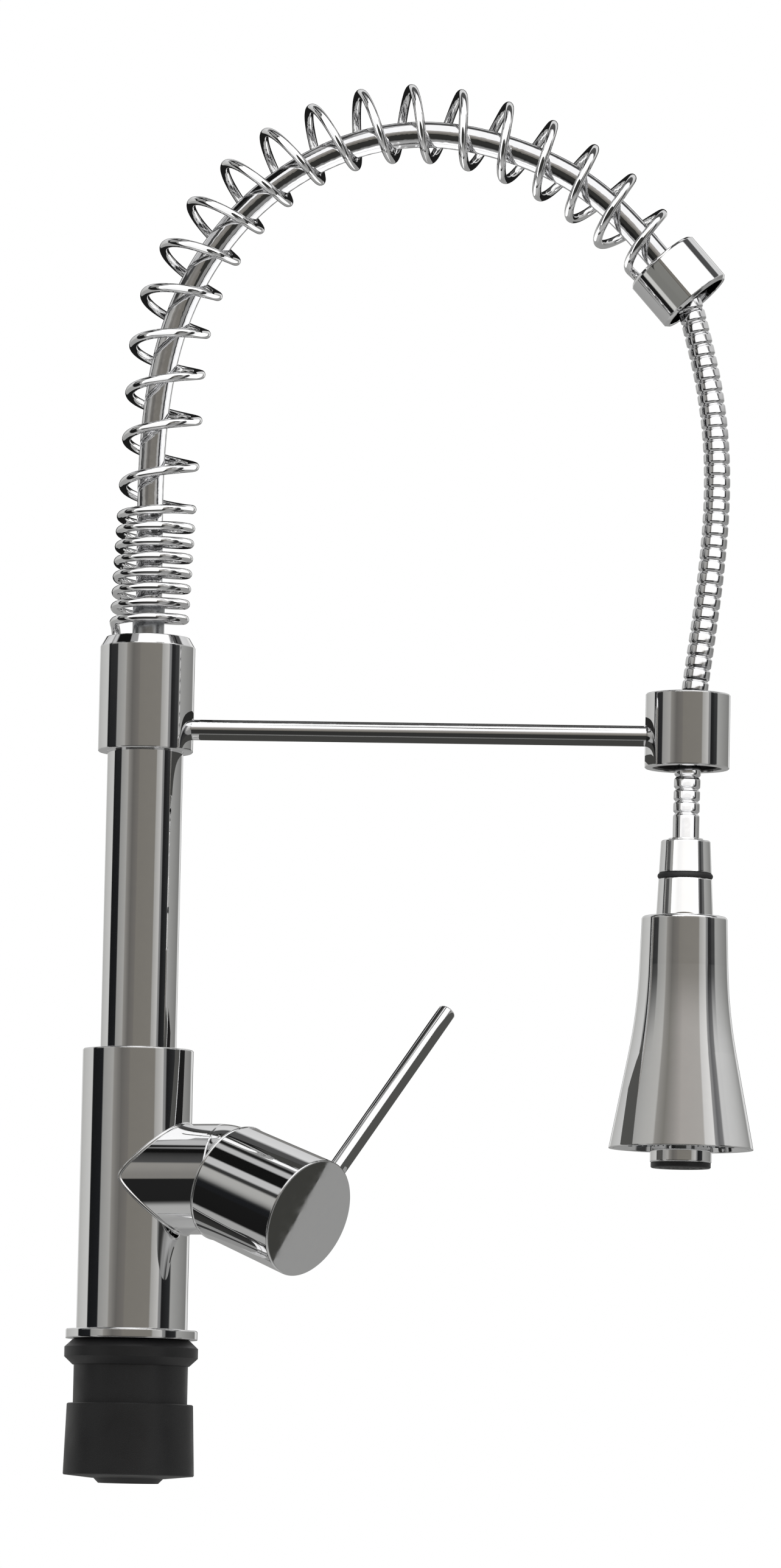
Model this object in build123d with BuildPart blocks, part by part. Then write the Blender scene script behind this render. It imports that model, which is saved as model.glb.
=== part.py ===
from build123d import *
import os
from math import cos, pi, radians, sin, sqrt, tan

os.makedirs("parts", exist_ok=True)

# A chrome kitchen faucet with a spring arch, a docking arm and a pull-out spray.
# Millimetres. +Z is up, +X runs along the docking arm, +Y points away from the user's view.
# The origin is the centre of the base ring's underside, on the sink deck.

# Clearances and small edges shared by all pieces
running_gap = 0.06
fixed_gap = 0.05
free_gap = 0.3
overrun = 1.0
edge_break = 0.4

# Base ring, deck seal and shank
base_radius = 28.5
base_height = 4.0
seal_inner_radius = 20.0
seal_width = 5.0
seal_thickness = 1.6
shank_radius = 16.0
shank_bore_radius = 12.5
shank_drop = 62.0
shank_grip = 14.0
shank_nose = 3.0

# Clamp washer and mounting nut below the deck
washer_radius = 28.9
washer_bevel = 3.6
washer_bevel_height = 3.4
washer_height = 11.0
nut_barrel_radius = 24.7
nut_barrel_height = 16.6
nut_grip_top_radius = 27.3
nut_grip_radius = 28.3
nut_grip_height = 32.0
nut_foot_rise = 1.2

# Tee body with its side branch
body_radius = 24.0
branch_height = 69.2
branch_radius = 23.85
branch_reach = 41.3
branch_turn = -18.0
casting_cavity_radius = 19.0
casting_floor_height = 44.0
inlet_length = 10.0
inlet_outer_radius = 5.8
inlet_thread_radius = 4.5
inlet_offset = 6.8
waterway_radius = 3.0
riser_waterway_radius = 4.0
riser_waterway_offset = 10.0
inlet_port_rise = 3.2
mixed_port_drop = 4.5
outlet_floor_wall = 11.3
outlet_socket_radius = 20.0
outlet_socket_depth = 27.4

# Ceramic cartridge, measured along the branch from the body's axis
cartridge_seat = 12.0
cartridge_radius = 17.5
cartridge_base_thickness = 3.0
port_seal_width = 1.6
port_seal_depth = 1.2
disc_thickness = 3.0
disc_gap = 0.1
moving_disc_radius = 9.3
carrier_radius = 9.2
carrier_height = 9.0
mixing_pocket_radius = 4.8
mixing_pocket_offset = 5.0
mixing_slot_width = 14.8
mixing_slot_height = 4.2
mixing_slot_offset = 2.4
mixing_pocket_depth = 1.6
housing_wall = 2.5
housing_lip_thickness = 2.0
housing_lip_radius = 10.2
rotor_flange_thickness = 1.9
rotor_neck_radius = 9.0
rotor_neck_past_pivot = 4.7
rotor_slot_width = 8.6
rotor_slot_back = 9.0
rotor_slot_front = 4.5
retaining_nut_radius = 20.9
retaining_nut_overlap = 4.0
retaining_nut_cap = 2.5
retaining_nut_bore_radius = 12.5
bonnet_radius = 23.7
bonnet_wall = 2.0
bonnet_mouth_radius = 15.4
bonnet_spigot_length = 4.0
bonnet_spigot_wall = 1.7
outer_arc_angle = 22.5
inner_arc_angle = 36.0

# Lever: stem, hub and rod
lever_lift = 26.0
lever_side = 38.0
stem_width = 8.0
stem_reach = 40.0
stem_shoulder = 3.0
stem_arm_radius = 2.4
stem_ball_radius = 2.9
stem_ball_drop = 12.3
ball_socket_radius = 3.2
ball_socket_depth = 4.6
pin_radius = 1.6
hub_rim_offset = 5.5
hub_rim_radius = 25.6
hub_face_radius = 26.2
hub_face_offset = 50.6
hub_bore_radius = 24.7
hub_plate = 4.6
hub_boss_radius = 9.0
hub_boss_start = 26.5
rod_radius = 3.9
rod_reach = 97.0
rod_root_back = 7.0
rod_lean = 9.0
rod_socket_radius = 16.0
rod_boss_radius = 5.0
grub_radius = 2.5
grub_length = 5.0
plug_radius = 3.2
plug_thickness = 1.6
plug_seat_offset = 33.0

# Riser tube and its swivel in the body's top
riser_radius = 16.5
riser_wall = 2.0
riser_top = 292.0
nipple_flange = 5.0
nipple_height = 18.0
nipple_bore_radius = 8.0
nipple_recess_radius = 14.5
nipple_recess_depth = 2.0
o_ring_radius = 1.2
o_ring_first_height = 6.5
o_ring_spacing = 6.0
thrust_washer_thickness = 1.5
clip_height = 5.2
clip_thickness = 1.2
clip_bite = 0.8
clip_outer_radius = 18.5
clip_opening = 60.0

# Spring collar, hose connector and docking arm
collar_radius = 20.7
collar_grip = 36.6
collar_shoulder_height = 45.8
collar_cone_height = 4.3
collar_top_radius = 18.2
collar_throat_radius = 9.0
connector_plug_length = 16.0
connector_rise = 0.5
connector_nipple_length = 12.0
hose_nipple_radius = 3.9
hose_nipple_bore_radius = 2.9
crimp_wall = 1.2
crimp_length = 14.0
arm_radius = 4.5
arm_rise = 10.1
arm_collar_skin = 0.7
arm_holder_skin = 0.8
lock_screw_height = 14.0

# Spray holder at the arm's end
spray_reach = 236.0
holder_radius = 18.4
holder_bore_radius = 15.0
holder_height = 32.5
holder_drop = 14.0
liner_wall = 1.9
liner_inset = 0.8

# Arch spring: its centre line, then its coil
spring_lean = 2.5
spring_straight = 120.6
crown_radii = (117.6, 97.3, 140.8)
crown_turns = (52.6, 43.9, 40.0)
spring_tail = 16.0
wire_radius = 2.0
coil_radius = 15.3
coil_start = 5.75
coil_stop = 6.3
close_pitch = 6.7
close_turns = 7
open_turns = 17.5
open_pitch_end_share = 0.913
coil_end_radius = 12.9
wire_bend = 5.0
nudge_share = 0.001

# Arch hose inside the spring, and the free ribbed hose
arch_hose_radius = 5.7
hose_bore_radius = 4.0
arch_hose_lay_shares = (
    (0.2, 0.48), (0.35, -0.27), (0.5, -0.79), (0.6, -0.88), (0.7, -0.63), (0.85, -0.15)
)
drop_hose_radius = 5.75
rib_depth = 0.7
rib_pitch = 5.3
drop_bows = (2.0, 7.6, 10.9, 11.3, 9.4, 6.3, 2.8)
drop_height_shares = (0.913, 0.816, 0.71, 0.602, 0.49, 0.38, 0.272)
drop_straight_share = 0.139
bend_run_share = 0.45

# Ferrule at the spring's far end
ferrule_radius = 17.2
ferrule_length = 24.0
ferrule_wall = 2.4
ferrule_plate = 5.0
ferrule_bevel = 1.2
coupling_radius = 8.0
coupling_recess = 1.0
coupling_nipple_length = 8.0

# Pull-out spray head
spray_hang = 31.5
neck_length = 33.0
neck_top_radius = 10.7
neck_bottom_radius = 12.3
neck_bore_radius = 7.56
neck_shoulder_drop = 17.7
neck_chamber_radius = 9.5
neck_spigot_radius = 11.0
neck_spigot_length = 10.0
neck_o_ring_drop = 15.4
neck_o_ring_radius = 1.3
neck_o_ring_proud = 0.6
fitting_rise = 1.0
fitting_flange = 3.0
fitting_tail_radius = 6.0
fitting_tail_length = 9.0
fitting_nipple_length = 9.0
bell_top_radius = 18.6
bell_waist_radius = 19.8
bell_waist_drop = 41.0
bell_mouth_radius = 31.3
bell_length = 100.7
bell_flare_radius = 240.0
bell_wall = 2.0
bell_roof = 4.0
bell_shoulder_round = 1.5
face_recess = 2.3
face_thickness = 3.8
core_plate = 6.0
core_tube_radius = 9.4
core_top_drop = 11.0
core_bore_radius = 4.0
valve_radius = 5.5
valve_length = 12.0
valve_drop = 4.0
knob_radius = 13.3
knob_drop = 6.0
knob_flange_radius = 14.4
knob_flange_thickness = 2.5
knob_flange_lift = 0.6
knob_travel = 4.0
knob_wall = 2.3
aerator_height = 5.0
aerator_lip = 2.2
aerator_lip_inset = 0.3
aerator_hole_radius = 0.9
aerator_ring_radii = (3.0, 6.0, 9.0)
aerator_ring_counts = (6, 12, 18)
nozzle_radius = 0.9
nozzle_bore_radius = 0.45
nozzle_proud = 1.0
nozzle_ring_radii = (18.0, 23.5)
nozzle_ring_counts = (12, 18)

# Directions and planes of the branch and the lever
up = Vector(0, 0, 1)
branch_dir = Vector(cos(radians(branch_turn)), sin(radians(branch_turn)), 0)
branch_side = up.cross(branch_dir)
branch_origin = Vector(0, 0, branch_height)
branch_axis = Axis(branch_origin, branch_dir)
branch_cut = Plane(branch_origin, x_dir=branch_side, z_dir=branch_side.cross(branch_dir))
pivot = branch_origin + branch_dir * branch_reach

lift = radians(lever_lift)
side = radians(lever_side)
lever_rise = up * cos(side) + branch_side * sin(side)
lever_dir = branch_dir * cos(lift) - lever_rise * sin(lift)
lever_up = branch_dir * sin(lift) + lever_rise * cos(lift)
hinge_dir = lever_up.cross(lever_dir)
lever_frame = Plane(pivot, x_dir=lever_up, z_dir=lever_dir)
lever_cut = Plane(pivot, x_dir=lever_up, z_dir=lever_up.cross(lever_dir))
lever_axis = Axis(pivot, lever_dir)
disc_shift = lever_rise * (stem_ball_drop * sin(lift))

# Heights that hang on the riser's top: collar, arm, holder and spray
collar_bottom = riser_top - collar_grip
arm_height = collar_bottom + arm_rise
holder_bottom = arm_height - holder_drop
neck_top = holder_bottom - spray_hang
neck_bottom = neck_top - neck_length
neck_o_ring_height = neck_top - neck_o_ring_drop
bell_waist_height = neck_bottom - bell_waist_drop
bell_bottom = neck_bottom - bell_length
core_top = neck_bottom - core_top_drop

spray_cut = Plane((spray_reach, 0, 0), x_dir=(1, 0, 0), z_dir=(0, -1, 0))
spray_axis = Axis((spray_reach, 0, 0), (0, 0, 1))


def turned(points, plane=Plane.XZ, axis=Axis.Z, mode=Mode.ADD):
    """A lathe-turned solid: points are (radius, height) in the plane, spun about the axis."""
    with BuildSketch(plane) as profile:
        with BuildLine():
            Polyline(*points, close=True)
        make_face()
    return revolve(profile.sketch, axis=axis, mode=mode)


def ring_points(inner, outer, low, high):
    """The four corners of a ring's section."""
    return [(inner, low), (outer, low), (outer, high), (inner, high)]


def round_hole(centre, direction, radius, depth):
    """Drills a round hole that starts at centre and runs along direction."""
    with BuildSketch(Plane(centre, z_dir=direction)) as mouth:
        Circle(radius)
    extrude(mouth.sketch, amount=depth, mode=Mode.SUBTRACT)


def round_bar(centre, direction, radius, length):
    """A round bar that starts at centre and runs along direction."""
    with BuildSketch(Plane(centre, z_dir=direction)) as section:
        Circle(radius)
    extrude(section.sketch, amount=length)


def along_branch(distance, sideways=0.0, rise=0.0):
    """A point measured along the branch, sideways from it and above it."""
    return branch_origin + branch_dir * distance + branch_side * sideways + up * rise


# Base ring, with a groove below for the deck seal
seal_outer_radius = seal_inner_radius + seal_width
with BuildPart() as base_ring:
    turned([
        (shank_radius + fixed_gap, 0),
        (base_radius, 0),
        (base_radius, base_height - edge_break),
        (base_radius - edge_break, base_height),
        (shank_radius + fixed_gap, base_height),
    ])
    turned(
        ring_points(seal_inner_radius, seal_outer_radius, 0, seal_thickness),
        mode=Mode.SUBTRACT,
    )
base_ring.part.label = "base_ring"
export_step(base_ring.part, "parts/base_ring.step")

with BuildPart() as deck_seal:
    turned(
        ring_points(
            seal_inner_radius + fixed_gap, seal_outer_radius - fixed_gap, 0, seal_thickness
        )
    )
deck_seal.part.label = "deck_seal"
export_step(deck_seal.part, "parts/deck_seal.step")

# Threaded shank that hangs through the deck's hole
with BuildPart() as threaded_shank:
    turned([
        (shank_bore_radius, -shank_drop),
        (shank_radius - shank_nose, -shank_drop),
        (shank_radius, -shank_drop + shank_nose),
        (shank_radius, base_height + shank_grip),
        (shank_bore_radius, base_height + shank_grip),
    ])
threaded_shank.part.label = "threaded_shank"
export_step(threaded_shank.part, "parts/threaded_shank.step")

# Clamp washer, bevelled at both rims, and the nut that pushes it up
washer_top = -free_gap
washer_bottom = washer_top - washer_height
thread_bore_radius = shank_radius + running_gap
with BuildPart() as clamp_washer:
    turned([
        (thread_bore_radius, washer_bottom),
        (washer_radius - washer_bevel, washer_bottom),
        (washer_radius, washer_bottom + washer_bevel_height),
        (washer_radius, washer_top - washer_bevel_height),
        (washer_radius - washer_bevel, washer_top),
        (thread_bore_radius, washer_top),
    ])
clamp_washer.part.label = "clamp_washer"
export_step(clamp_washer.part, "parts/clamp_washer.step")

nut_waist = washer_bottom - nut_barrel_height
nut_bottom = nut_waist - nut_grip_height
with BuildPart() as mounting_nut:
    turned([
        (thread_bore_radius, nut_bottom),
        (nut_grip_radius - edge_break, nut_bottom + nut_foot_rise),
        (nut_grip_radius, nut_bottom + nut_foot_rise + edge_break),
        (nut_grip_top_radius, nut_waist - edge_break),
        (nut_grip_top_radius - edge_break, nut_waist),
        (nut_barrel_radius, nut_waist),
        (nut_barrel_radius, washer_bottom),
        (thread_bore_radius, washer_bottom),
    ])
mounting_nut.part.label = "mounting_nut"
export_step(mounting_nut.part, "parts/mounting_nut.step")

# Tee body: one casting with inlet waterways, cartridge bore and outlet socket
outlet_floor_height = branch_height + cartridge_radius + outlet_floor_wall
body_top = outlet_floor_height + outlet_socket_depth
inlet_port_height = branch_height + inlet_port_rise
nut_thread_start = cartridge_seat + cartridge_base_thickness + disc_thickness + disc_gap
nut_thread_start += disc_thickness + carrier_height
riser_waterway_sink = mixed_port_drop + riser_waterway_radius
with BuildPart() as tee_body:
    with BuildSketch(Plane.XY.offset(base_height)):
        Circle(body_radius)
    extrude(amount=body_top - base_height)
    chamfer(tee_body.edges().group_by(Axis.Z)[-1], length=edge_break)
    round_bar(branch_origin, branch_dir, branch_radius, branch_reach)
    turned(
        ring_points(0, shank_radius + fixed_gap, base_height, base_height + shank_grip),
        mode=Mode.SUBTRACT,
    )
    turned(
        ring_points(
            0, casting_cavity_radius, base_height + shank_grip, casting_floor_height
        ),
        mode=Mode.SUBTRACT,
    )
    turned(
        ring_points(0, outlet_socket_radius, outlet_floor_height, body_top + overrun),
        mode=Mode.SUBTRACT,
    )
    round_hole(
        along_branch(cartridge_seat),
        branch_dir,
        cartridge_radius + fixed_gap,
        branch_reach - cartridge_seat + overrun,
    )
    round_hole(
        along_branch(nut_thread_start),
        branch_dir,
        retaining_nut_radius + fixed_gap,
        branch_reach - nut_thread_start + overrun,
    )
    for handed in (-1, 1):
        inlet_foot = branch_side * (handed * inlet_offset) + up * casting_floor_height
        round_hole(inlet_foot, up, inlet_outer_radius + fixed_gap, inlet_length)
        round_hole(
            inlet_foot,
            up,
            waterway_radius + running_gap,
            inlet_port_height + waterway_radius - casting_floor_height,
        )
        round_hole(
            along_branch(0, handed * inlet_offset, inlet_port_rise),
            branch_dir,
            waterway_radius,
            cartridge_seat + overrun,
        )
    round_hole(
        along_branch(-riser_waterway_offset, 0, -riser_waterway_sink),
        up,
        riser_waterway_radius,
        outlet_floor_height + overrun - branch_height + riser_waterway_sink,
    )
    round_hole(
        along_branch(-riser_waterway_offset, 0, -mixed_port_drop),
        branch_dir,
        waterway_radius,
        riser_waterway_offset + cartridge_seat + overrun,
    )
tee_body.part.label = "tee_body"
export_step(tee_body.part, "parts/tee_body.step")

# Hot and cold inlets: brass bushes with a female thread for the supply tails
with BuildPart() as hot_inlet:
    with Locations(Plane(branch_side * -inlet_offset + up * casting_floor_height)):
        Cylinder(inlet_outer_radius, inlet_length, align=(Align.CENTER, Align.CENTER, Align.MIN))
        Hole(inlet_thread_radius)
hot_inlet.part.label = "hot_inlet"
export_step(hot_inlet.part, "parts/hot_inlet.step")

with BuildPart() as cold_inlet:
    with Locations(Plane(branch_side * inlet_offset + up * casting_floor_height)):
        Cylinder(inlet_outer_radius, inlet_length, align=(Align.CENTER, Align.CENTER, Align.MIN))
        Hole(inlet_thread_radius)
cold_inlet.part.label = "cold_inlet"
export_step(cold_inlet.part, "parts/cold_inlet.step")

# Cartridge base with three ports, each sealed by a ring in a pocket
base_end = cartridge_seat + cartridge_base_thickness
ports = (
    (-inlet_offset, inlet_port_rise),
    (inlet_offset, inlet_port_rise),
    (0, -mixed_port_drop),
)
seal_ring_radius = waterway_radius + port_seal_width
with BuildPart() as cartridge_base:
    round_bar(along_branch(cartridge_seat), branch_dir, cartridge_radius, cartridge_base_thickness)
    for sideways, rise in ports:
        port = along_branch(cartridge_seat, sideways, rise)
        round_hole(port, branch_dir, waterway_radius, cartridge_base_thickness)
        round_hole(port, branch_dir, seal_ring_radius, port_seal_depth)
cartridge_base.part.label = "cartridge_base"
export_step(cartridge_base.part, "parts/cartridge_base.step")

with BuildPart() as cartridge_seals:
    for sideways, rise in ports:
        port = along_branch(cartridge_seat, sideways, rise)
        round_bar(port, branch_dir, seal_ring_radius - fixed_gap, port_seal_depth)
        round_hole(port, branch_dir, waterway_radius, port_seal_depth)
cartridge_seals.part.label = "cartridge_seals"
export_step(cartridge_seals.part, "parts/cartridge_seals.step")

# Ceramic discs: the fixed one has the ports, the moving one bridges them
housing_bore_radius = cartridge_radius - housing_wall
fixed_disc_end = base_end + disc_thickness
with BuildPart() as fixed_disc:
    round_bar(
        along_branch(base_end), branch_dir, housing_bore_radius - fixed_gap, disc_thickness
    )
    for sideways, rise in ports:
        port = along_branch(base_end, sideways, rise)
        round_hole(port, branch_dir, waterway_radius, disc_thickness)
fixed_disc.part.label = "fixed_disc"
export_step(fixed_disc.part, "parts/fixed_disc.step")

moving_disc_start = fixed_disc_end + disc_gap
carrier_start = moving_disc_start + disc_thickness
carrier_end = carrier_start + carrier_height
disc_centre = along_branch(moving_disc_start) + disc_shift
disc_plane = Plane(disc_centre, x_dir=lever_rise.cross(branch_dir), z_dir=branch_dir)
with BuildPart() as moving_disc:
    round_bar(disc_centre, branch_dir, moving_disc_radius, disc_thickness)
    with BuildSketch(disc_plane) as mixing_pocket:
        with Locations((0, mixing_pocket_offset)):
            Circle(mixing_pocket_radius)
        with Locations((0, mixing_slot_offset)):
            Rectangle(mixing_slot_width, mixing_slot_height)
    extrude(mixing_pocket.sketch, amount=mixing_pocket_depth, mode=Mode.SUBTRACT)
moving_disc.part.label = "moving_disc"
export_step(moving_disc.part, "parts/moving_disc.step")

# Carrier on the moving disc, with a socket for the stem's ball
carrier_centre = along_branch(carrier_start) + disc_shift
with BuildPart() as disc_carrier:
    round_bar(carrier_centre, branch_dir, carrier_radius, carrier_height)
    round_hole(
        carrier_centre + branch_dir * (carrier_height - ball_socket_depth),
        branch_dir,
        ball_socket_radius,
        ball_socket_depth,
    )
disc_carrier.part.label = "disc_carrier"
export_step(disc_carrier.part, "parts/disc_carrier.step")

# Cartridge housing: a cup over the discs, with a lip that keeps the rotor in
rotor_start = carrier_end + free_gap
rotor_flange_end = rotor_start + rotor_flange_thickness
lip_start = rotor_flange_end + free_gap
housing_end = lip_start + housing_lip_thickness
with BuildPart() as cartridge_housing:
    turned(
        [
            (housing_bore_radius, base_end),
            (cartridge_radius, base_end),
            (cartridge_radius, housing_end),
            (housing_lip_radius, housing_end),
            (housing_lip_radius, lip_start),
            (housing_bore_radius, lip_start),
        ],
        branch_cut,
        branch_axis,
    )
cartridge_housing.part.label = "cartridge_housing"
export_step(cartridge_housing.part, "parts/cartridge_housing.step")

# Rotor: turns for temperature and carries the stem's pin between two ears
rotor_end = branch_reach + rotor_neck_past_pivot
rotor_plane = Plane(along_branch(rotor_start), x_dir=lever_rise, z_dir=branch_dir)
neck_plane = Plane(along_branch(rotor_flange_end), x_dir=lever_rise, z_dir=branch_dir)
with BuildPart() as cartridge_rotor:
    turned(
        [
            (0, rotor_start),
            (housing_bore_radius - running_gap, rotor_start),
            (housing_bore_radius - running_gap, rotor_flange_end),
            (rotor_neck_radius, rotor_flange_end),
            (rotor_neck_radius, rotor_end),
            (0, rotor_end),
        ],
        branch_cut,
        branch_axis,
    )
    with BuildSketch(rotor_plane) as flange_slot:
        with Locations(((rotor_slot_back - rotor_slot_front) / 2, 0)):
            Rectangle(rotor_slot_back + rotor_slot_front, rotor_slot_width)
    extrude(flange_slot.sketch, amount=rotor_flange_thickness, mode=Mode.SUBTRACT)
    with BuildSketch(neck_plane) as ear_gap:
        Rectangle((rotor_neck_radius + overrun) * 2, rotor_slot_width)
    extrude(ear_gap.sketch, amount=rotor_end - rotor_flange_end + overrun, mode=Mode.SUBTRACT)
    round_hole(
        pivot - hinge_dir * (rotor_neck_radius + overrun),
        hinge_dir,
        pin_radius,
        (rotor_neck_radius + overrun) * 2,
    )
cartridge_rotor.part.label = "cartridge_rotor"
export_step(cartridge_rotor.part, "parts/cartridge_rotor.step")

pin_half_length = rotor_neck_radius - edge_break
with BuildPart() as stem_pin:
    round_bar(
        pivot - hinge_dir * pin_half_length, hinge_dir, pin_radius - fixed_gap, pin_half_length * 2
    )
stem_pin.part.label = "stem_pin"
export_step(stem_pin.part, "parts/stem_pin.step")

# Nut that holds the cartridge down, and the bonnet screwed in over it
nut_bore_radius = cartridge_radius + fixed_gap
with BuildPart() as cartridge_nut:
    turned(
        [
            (nut_bore_radius, housing_end - retaining_nut_overlap),
            (retaining_nut_radius, housing_end - retaining_nut_overlap),
            (retaining_nut_radius, housing_end + retaining_nut_cap),
            (retaining_nut_bore_radius, housing_end + retaining_nut_cap),
            (retaining_nut_bore_radius, housing_end),
            (nut_bore_radius, housing_end),
        ],
        branch_cut,
        branch_axis,
    )
cartridge_nut.part.label = "cartridge_nut"
export_step(cartridge_nut.part, "parts/cartridge_nut.step")

bonnet_inner_radius = bonnet_radius - bonnet_wall
bonnet_mouth_outer = sqrt(bonnet_radius**2 - bonnet_mouth_radius**2)
bonnet_mouth_inner = sqrt(bonnet_inner_radius**2 - bonnet_mouth_radius**2)
spigot_radius = retaining_nut_radius
spigot_inner_radius = spigot_radius - bonnet_spigot_wall
spigot_seat = sqrt(bonnet_inner_radius**2 - spigot_inner_radius**2)


def on_sphere(radius, angle):
    """A point of the bonnet's section, as radius from the axis and distance along the branch."""
    return radius * cos(angle), branch_reach + radius * sin(angle)


with BuildPart() as bonnet_dome:
    with BuildSketch(branch_cut) as bonnet_section:
        with BuildLine():
            outer_arc = ThreePointArc(
                (bonnet_radius, branch_reach),
                on_sphere(bonnet_radius, radians(outer_arc_angle)),
                (bonnet_mouth_radius, branch_reach + bonnet_mouth_outer),
            )
            Line(outer_arc @ 1, (bonnet_mouth_radius, branch_reach + bonnet_mouth_inner))
            inner_arc = ThreePointArc(
                (bonnet_mouth_radius, branch_reach + bonnet_mouth_inner),
                on_sphere(bonnet_inner_radius, radians(inner_arc_angle)),
                (spigot_inner_radius, branch_reach + spigot_seat),
            )
            Polyline(
                inner_arc @ 1,
                (spigot_inner_radius, branch_reach - bonnet_spigot_length),
                (spigot_radius, branch_reach - bonnet_spigot_length),
                (spigot_radius, branch_reach),
                (bonnet_radius, branch_reach),
            )
        make_face()
    revolve(bonnet_section.sketch, axis=branch_axis)
bonnet_dome.part.label = "bonnet_dome"
export_step(bonnet_dome.part, "parts/bonnet_dome.step")

# Stem: a square spindle on the pin, with an arm and ball that drive the disc
with BuildPart() as cartridge_stem:
    with BuildSketch(lever_frame.offset(-stem_shoulder)) as stem_section:
        Rectangle(stem_width, stem_width)
    extrude(stem_section.sketch, amount=stem_reach + stem_shoulder)
    round_bar(
        pivot - lever_dir * stem_ball_drop,
        lever_dir,
        stem_arm_radius,
        stem_ball_drop - stem_shoulder,
    )
    with Locations(lever_frame.offset(-stem_ball_drop)):
        Sphere(stem_ball_radius)
    round_hole(
        pivot - hinge_dir * stem_width, hinge_dir, pin_radius + fixed_gap / 2, stem_width * 2
    )
cartridge_stem.part.label = "cartridge_stem"
export_step(cartridge_stem.part, "parts/cartridge_stem.step")

# Lever hub: a skirt over the bonnet, a flat face, and bosses for the stem and the rod
plate_start = hub_face_offset - hub_plate
rod_dir = lever_up * cos(radians(rod_lean)) - lever_dir * sin(radians(rod_lean))
rod_root = pivot + lever_dir * (hub_face_offset - rod_root_back) + lever_up * hub_face_radius
rod_sink = (hub_face_radius - rod_socket_radius) / cos(radians(rod_lean))
rod_start = rod_root - rod_dir * rod_sink
plug_seat = pivot + lever_dir * plug_seat_offset
with BuildPart() as lever_hub:
    turned(
        [
            (hub_bore_radius, hub_rim_offset),
            (hub_rim_radius, hub_rim_offset),
            (hub_face_radius, hub_face_offset - edge_break),
            (hub_face_radius - edge_break, hub_face_offset),
            (0, hub_face_offset),
            (0, hub_boss_start),
            (hub_boss_radius, hub_boss_start),
            (hub_boss_radius, plate_start),
            (hub_bore_radius, plate_start),
        ],
        lever_cut,
        lever_axis,
    )
    round_bar(rod_start, rod_dir, rod_boss_radius, rod_sink - overrun)
    round_hole(rod_start, rod_dir, rod_radius + fixed_gap, rod_sink + rod_radius)
    with BuildSketch(lever_frame.offset(hub_boss_start)) as stem_socket:
        Rectangle(stem_width + fixed_gap * 2, stem_width + fixed_gap * 2)
    extrude(
        stem_socket.sketch, amount=stem_reach + fixed_gap - hub_boss_start, mode=Mode.SUBTRACT
    )
    round_hole(plug_seat, hinge_dir, grub_radius + fixed_gap, hub_boss_radius + overrun)
    round_hole(
        plug_seat + hinge_dir * hub_boss_radius,
        hinge_dir,
        plug_radius + fixed_gap,
        hub_face_radius - hub_boss_radius + overrun,
    )
lever_hub.part.label = "lever_hub"
export_step(lever_hub.part, "parts/lever_hub.step")

with BuildPart() as lever_rod:
    round_bar(rod_start, rod_dir, rod_radius, rod_sink + rod_reach)
    tip = lever_rod.edges().filter_by(GeomType.CIRCLE).sort_by(Axis.Z)[-1]
    chamfer(tip, length=edge_break)
lever_rod.part.label = "lever_rod"
export_step(lever_rod.part, "parts/lever_rod.step")

# Grub screw that grips the stem, and the plug that hides its hole
grub_start = stem_width / 2 + fixed_gap
with BuildPart() as hub_grub_screw:
    round_bar(plug_seat + hinge_dir * grub_start, hinge_dir, grub_radius, grub_length)
hub_grub_screw.part.label = "hub_grub_screw"
export_step(hub_grub_screw.part, "parts/hub_grub_screw.step")

plug_outer = hub_rim_radius - edge_break / 2
with BuildPart() as index_plug:
    round_bar(
        plug_seat + hinge_dir * (plug_outer - plug_thickness), hinge_dir, plug_radius, plug_thickness
    )
index_plug.part.label = "index_plug"
export_step(index_plug.part, "parts/index_plug.step")

# Outlet nipple with two ring grooves, on which the riser turns
riser_bore_radius = riser_radius - riser_wall
nipple_radius = riser_bore_radius - running_gap
nipple_shoulder = outlet_floor_height + nipple_flange
nipple_top = nipple_shoulder + nipple_height
o_ring_heights = [nipple_shoulder + o_ring_first_height + n * o_ring_spacing for n in range(2)]
o_ring_seat_radius = riser_bore_radius - running_gap / 2 - 2 * o_ring_radius
with BuildPart() as outlet_nipple:
    turned([
        (nipple_recess_radius, outlet_floor_height),
        (outlet_socket_radius - fixed_gap, outlet_floor_height),
        (outlet_socket_radius - fixed_gap, nipple_shoulder),
        (nipple_radius, nipple_shoulder),
        (nipple_radius, nipple_top),
        (nipple_bore_radius, nipple_top),
        (nipple_bore_radius, outlet_floor_height + nipple_recess_depth),
        (nipple_recess_radius, outlet_floor_height + nipple_recess_depth),
    ])
    for height in o_ring_heights:
        groove_half = o_ring_radius + fixed_gap
        turned(
            ring_points(
                o_ring_seat_radius, riser_radius, height - groove_half, height + groove_half
            ),
            mode=Mode.SUBTRACT,
        )
outlet_nipple.part.label = "outlet_nipple"
export_step(outlet_nipple.part, "parts/outlet_nipple.step")

with BuildPart() as nipple_o_rings:
    for height in o_ring_heights:
        with Locations((0, 0, height)):
            Torus(o_ring_seat_radius + o_ring_radius, o_ring_radius)
nipple_o_rings.part.label = "nipple_o_rings"
export_step(nipple_o_rings.part, "parts/nipple_o_rings.step")

thrust_top = nipple_shoulder + thrust_washer_thickness
with BuildPart() as thrust_washer:
    turned(
        ring_points(
            nipple_radius + fixed_gap, outlet_socket_radius - free_gap, nipple_shoulder, thrust_top
        )
    )
thrust_washer.part.label = "thrust_washer"
export_step(thrust_washer.part, "parts/thrust_washer.step")

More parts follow.
